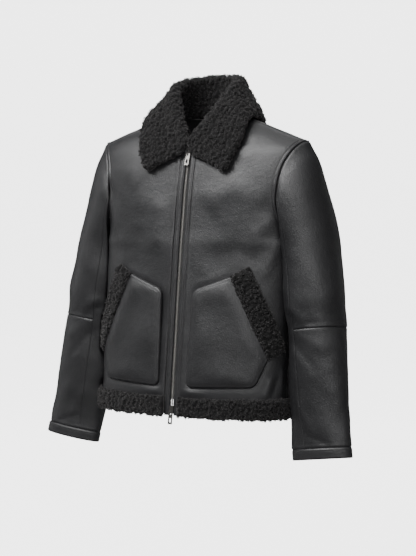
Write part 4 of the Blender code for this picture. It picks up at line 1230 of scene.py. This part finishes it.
def fur_band(name, points, side, node_name, seed):
    """A fur band from a loft of sections: its lumpy skin and its curls."""
    normals = grid_normals(np.concatenate([points[:, -1:], points, points[:, :1]], axis=1))[:, 1:-1]
    if ((points - points.mean(axis=1, keepdims=True)) * normals).sum() < 0:
        normals = -normals
    shown, facing = mirror(lumps(points, normals, seed, .0076, .0036), side), mirror(normals, side)
    skin = fur_skin(name, shown, node_name)
    top = slice(0, TRIM_TOP)
    wool = curls(name + "_curls", shown[:, top], facing[:, top], seed + 1, share=.20, size=1.35)
    settle(wool, "fur")


def hem_points(level, shares):
    """Sections of the hem's fur band: level 0 is a front piece and level 1 half the back."""
    start = PANEL_EDGE if level == 0 else 0.0
    stations = []
    for share in shares:
        row = []
        wobble = 1 + .05 * math.sin(share * 23 + level) + .03 * math.sin(share * 57 + 1)
        for across, depth in TRIM_SECTION:
            height = HEM_TOP + (HEM_BOTTOM - HEM_TOP) * across
            front = float(level_at_height(height))
            place = front if level == 0 else HEM_BACK - front
            near = np.clip([share - .01, share, share + .01], 0, 1)
            spots = level_points(place, near, start=start)
            tangent = spots[2] - spots[0]
            normal = np.array([tangent[1], -tangent[0], 0]) * (1 if level == 0 else -1)
            normal /= np.linalg.norm(normal)
            if share >= .999:
                normal = np.array([1.0, 0, 0])
            if share <= .001 and level == 1:
                normal = np.array([0, 1.0, 0])
            row.append(spots[1] + normal * (.0004 + FUR_DEPTH * .70 * depth * wobble))
        stations.append(row)
    return np.array(stations)


def hem():
    """The turned-up fur hem: two front bands and one across the back."""
    for side, word in ((1, "left"), (-1, "right")):
        points = hem_points(0, np.linspace(0, 1, 150))
        fur_band(f"fur_hem_front_{word}", points, side, f"hem_trim_front_{word}", 41 + side)
    half = hem_points(1, np.linspace(0, 1, 155))
    fur_band("fur_hem_back", np.concatenate([mirror(half[:0:-1], -1), half]), 1, "hem_trim_back", 51)


def collar():
    """The fold-over collar: a thick fur skin that stands, rolls and falls, covered in curls."""
    turns = np.concatenate([[0, .6, 1.3, 2.2], np.linspace(3.2, 180, 172)])
    stand, fold, fall = 18, 16, 54
    lines = np.array([collar_line(turn, stand, fold, fall) for turn in turns])
    lines[-1, :, 0] = 0
    middle = np.concatenate([mirror(lines, -1), lines[-2::-1]])
    stations, fur_side = middle.shape[:2]
    normals = grid_normals(middle)
    if normals[stations // 2, -3, 1] < 0:
        normals = -normals
    count = np.arange(stations)
    reach = np.interp(np.minimum(count, count[::-1]), [0, 1, 2, 3, 4], [0.05, .55, .8, .94, 1.0])
    wobble = (1 + .06 * np.sin(count * .55) + .05 * np.sin(count * 1.3))[:, None]
    half = (COLLAR_HALF * .72 * reach)[:, None]
    outer, inner = middle + normals * half[:, None], middle - normals * half[:, None]
    edge, edge_normal = middle[:, -1], normals[:, -1]
    edge_out = unit(edge - middle[:, -2])
    rim = [edge + edge_normal * half * math.sin(a) + edge_out * half * wobble * math.cos(a) * .9
           for a in np.radians((60, 25, -25, -60))]
    root = [middle[:, 0] + normals[:, 0] * half * s for s in (-.5, .5)]
    loop = np.concatenate([outer, np.stack(rim, 1), inner[:, ::-3], np.stack(root, 1)], axis=1)
    facing = grid_normals(np.concatenate([loop[:, -2:], loop, loop[:, :2]], axis=1))[:, 2:-2]
    if (facing[:, :fur_side] * normals).sum() < 0:
        facing = -facing
    lumpy = lumps(loop, facing, 61, .0080, .0038)
    skin = fur_skin("fur_collar", lumpy, "collar")
    wool = []
    parts = (("fall", slice(stand + 6, fur_side + 5), 63), ("stand", slice(1, stand + 7), 67))
    for word, shown, seed in parts:
        name = f"fur_collar_{word}_curls"
        wool.append(curls(name, lumpy[:, shown], facing[:, shown], seed, share=.185, size=1.40))
        settle(wool[-1], "fur")


# Stage

CAMERA_TURN = math.radians(30)
CAMERA_AWAY = 3.3
CAMERA_LEVEL = -.137
# In pixels of the picture
PICTURE_HEIGHT = 556
FOCAL = 1617.0
HORIZON = 183.0
CAMERA_ASIDE = 3.5
JACKET_MIDDLE = (0, 0, -.28)
# name, place, width, height, power, aim
LAMPS = (
    ("key", (-1.05, -2.25, 2.25), 2.5, 1.1, 160, JACKET_MIDDLE),
    ("front", (1.7, -2.9, 1.05), .8, 1.6, 30, JACKET_MIDDLE),
    ("right", (3.2, -1.4, .9), 1.0, 2.4, 4, JACKET_MIDDLE),
    ("top", (.3, -.2, 3.0), 2.2, 1.6, 22, JACKET_MIDDLE),
    ("left", (-3.3, -.5, .3), .9, 2.2, 8, JACKET_MIDDLE),
    ("back_left", (-2.2, 2.6, 1.8), 1.6, 1.6, 8, JACKET_MIDDLE),
    ("sweep_light", (-1.5, 3.6, 3.6), 3.0, 3.0, 60, (-2.4, 4.2, -.6)),
)


def sweep():
    """A pale floor that curves up behind the jacket, lit a little from within where it is far behind."""
    bend = np.radians(np.linspace(0, 90, 17))
    profile = [(-4.5, -1.15)]
    profile += [(3.2 + 1.8 * math.sin(a), .65 - 1.8 * math.cos(a)) for a in bend]
    profile.append((5.0, 6.0))
    away = np.array([-math.sin(CAMERA_TURN), math.cos(CAMERA_TURN)])
    across = np.array([math.cos(CAMERA_TURN), math.sin(CAMERA_TURN)])
    points = [(*(away * d + across * s), z) for d, z in profile for s in (-9, 9)]
    faces = [(2 * k, 2 * k + 1, 2 * k + 3, 2 * k + 2) for k in range(len(profile) - 1)]
    pale, tree, shader, place = new_material("pale_paper", (.60, .60, .60), .9, specular=.1)
    shader.inputs["Emission Color"].default_value = (1, 1, 1, 1)
    depth = node(tree, "ShaderNodeVectorMath", operation="DOT_PRODUCT")
    depth.inputs[1].default_value = (away[0], away[1], 0)
    tree.links.new(place, depth.inputs[0])
    glow = node(tree, "ShaderNodeMapRange", interpolation_type="SMOOTHSTEP")
    for key, value in (("From Min", .1), ("From Max", .8), ("To Min", .03), ("To Max", 3.0)):
        glow.inputs[key].default_value = value
    tree.links.new(depth.outputs["Value"], glow.inputs["Value"])
    tree.links.new(glow.outputs["Result"], shader.inputs["Emission Strength"])
    item = make_object("sweep", points, faces, pale)
    item.visible_glossy = False


def lamps():
    """Soft area lights and a dim, even world."""
    for name, spot, wide, high, power, aim in LAMPS:
        data = bpy.data.lights.new(name, "AREA")
        data.shape = "RECTANGLE"
        data.size, data.size_y, data.energy = wide, high, power
        light = bpy.data.objects.new(name, data)
        light.location = spot
        light.rotation_euler = (Vector(spot) - Vector(aim)).to_track_quat("Z", "Y").to_euler()
        bpy.context.scene.collection.objects.link(light)
    world = bpy.data.worlds.new("studio")
    world.use_nodes = True
    world.node_tree.nodes["Background"].inputs["Color"].default_value = (1, 1, 1, 1)
    world.node_tree.nodes["Background"].inputs["Strength"].default_value = .12
    bpy.context.scene.world = world


def camera():
    """The camera at the photograph's angle, a little turned down."""
    pitch = math.atan((PICTURE_HEIGHT / 2 - HORIZON) / FOCAL)
    right = Vector((math.cos(CAMERA_TURN), math.sin(CAMERA_TURN), 0))
    front = Vector((math.sin(CAMERA_TURN), -math.cos(CAMERA_TURN), 0))
    back = front * math.cos(pitch) + Vector((0, 0, math.sin(pitch)))
    up = back.cross(right)
    spot = front * CAMERA_AWAY + Vector((0, 0, CAMERA_LEVEL)) + right * (CAMERA_ASIDE * CAMERA_AWAY / FOCAL)
    data = bpy.data.cameras.new("camera")
    data.sensor_width = 36
    data.lens = data.sensor_width * FOCAL / PICTURE_HEIGHT
    item = bpy.data.objects.new("camera", data)
    item.matrix_world = Matrix(((right.x, up.x, back.x, spot.x), (right.y, up.y, back.y, spot.y),
                                (right.z, up.z, back.z, spot.z), (0, 0, 0, 1)))
    bpy.context.scene.collection.objects.link(item)
    bpy.context.scene.camera = item


def main():
    """Dress the frame."""
    thread_lines = []
    for side, word, folds in ((1, "left", FRONT_FOLDS_LEFT), (-1, "right", FRONT_FOLDS_RIGHT)):
        thread_lines += front_panel(side, word, folds)
        thread_lines += sleeve(side, word)
        thread_lines += zip_strip(side, word)
        zip_tape(side, word)
        pocket(side, word)
        pocket_trim(side, word)
    thread_lines += back_panel()
    hem()
    collar()
    zip_teeth()
    metal_parts()
    settle(stitches("stitching", thread_lines), "leather")
    sweep()
    lamps()
    camera()


main()
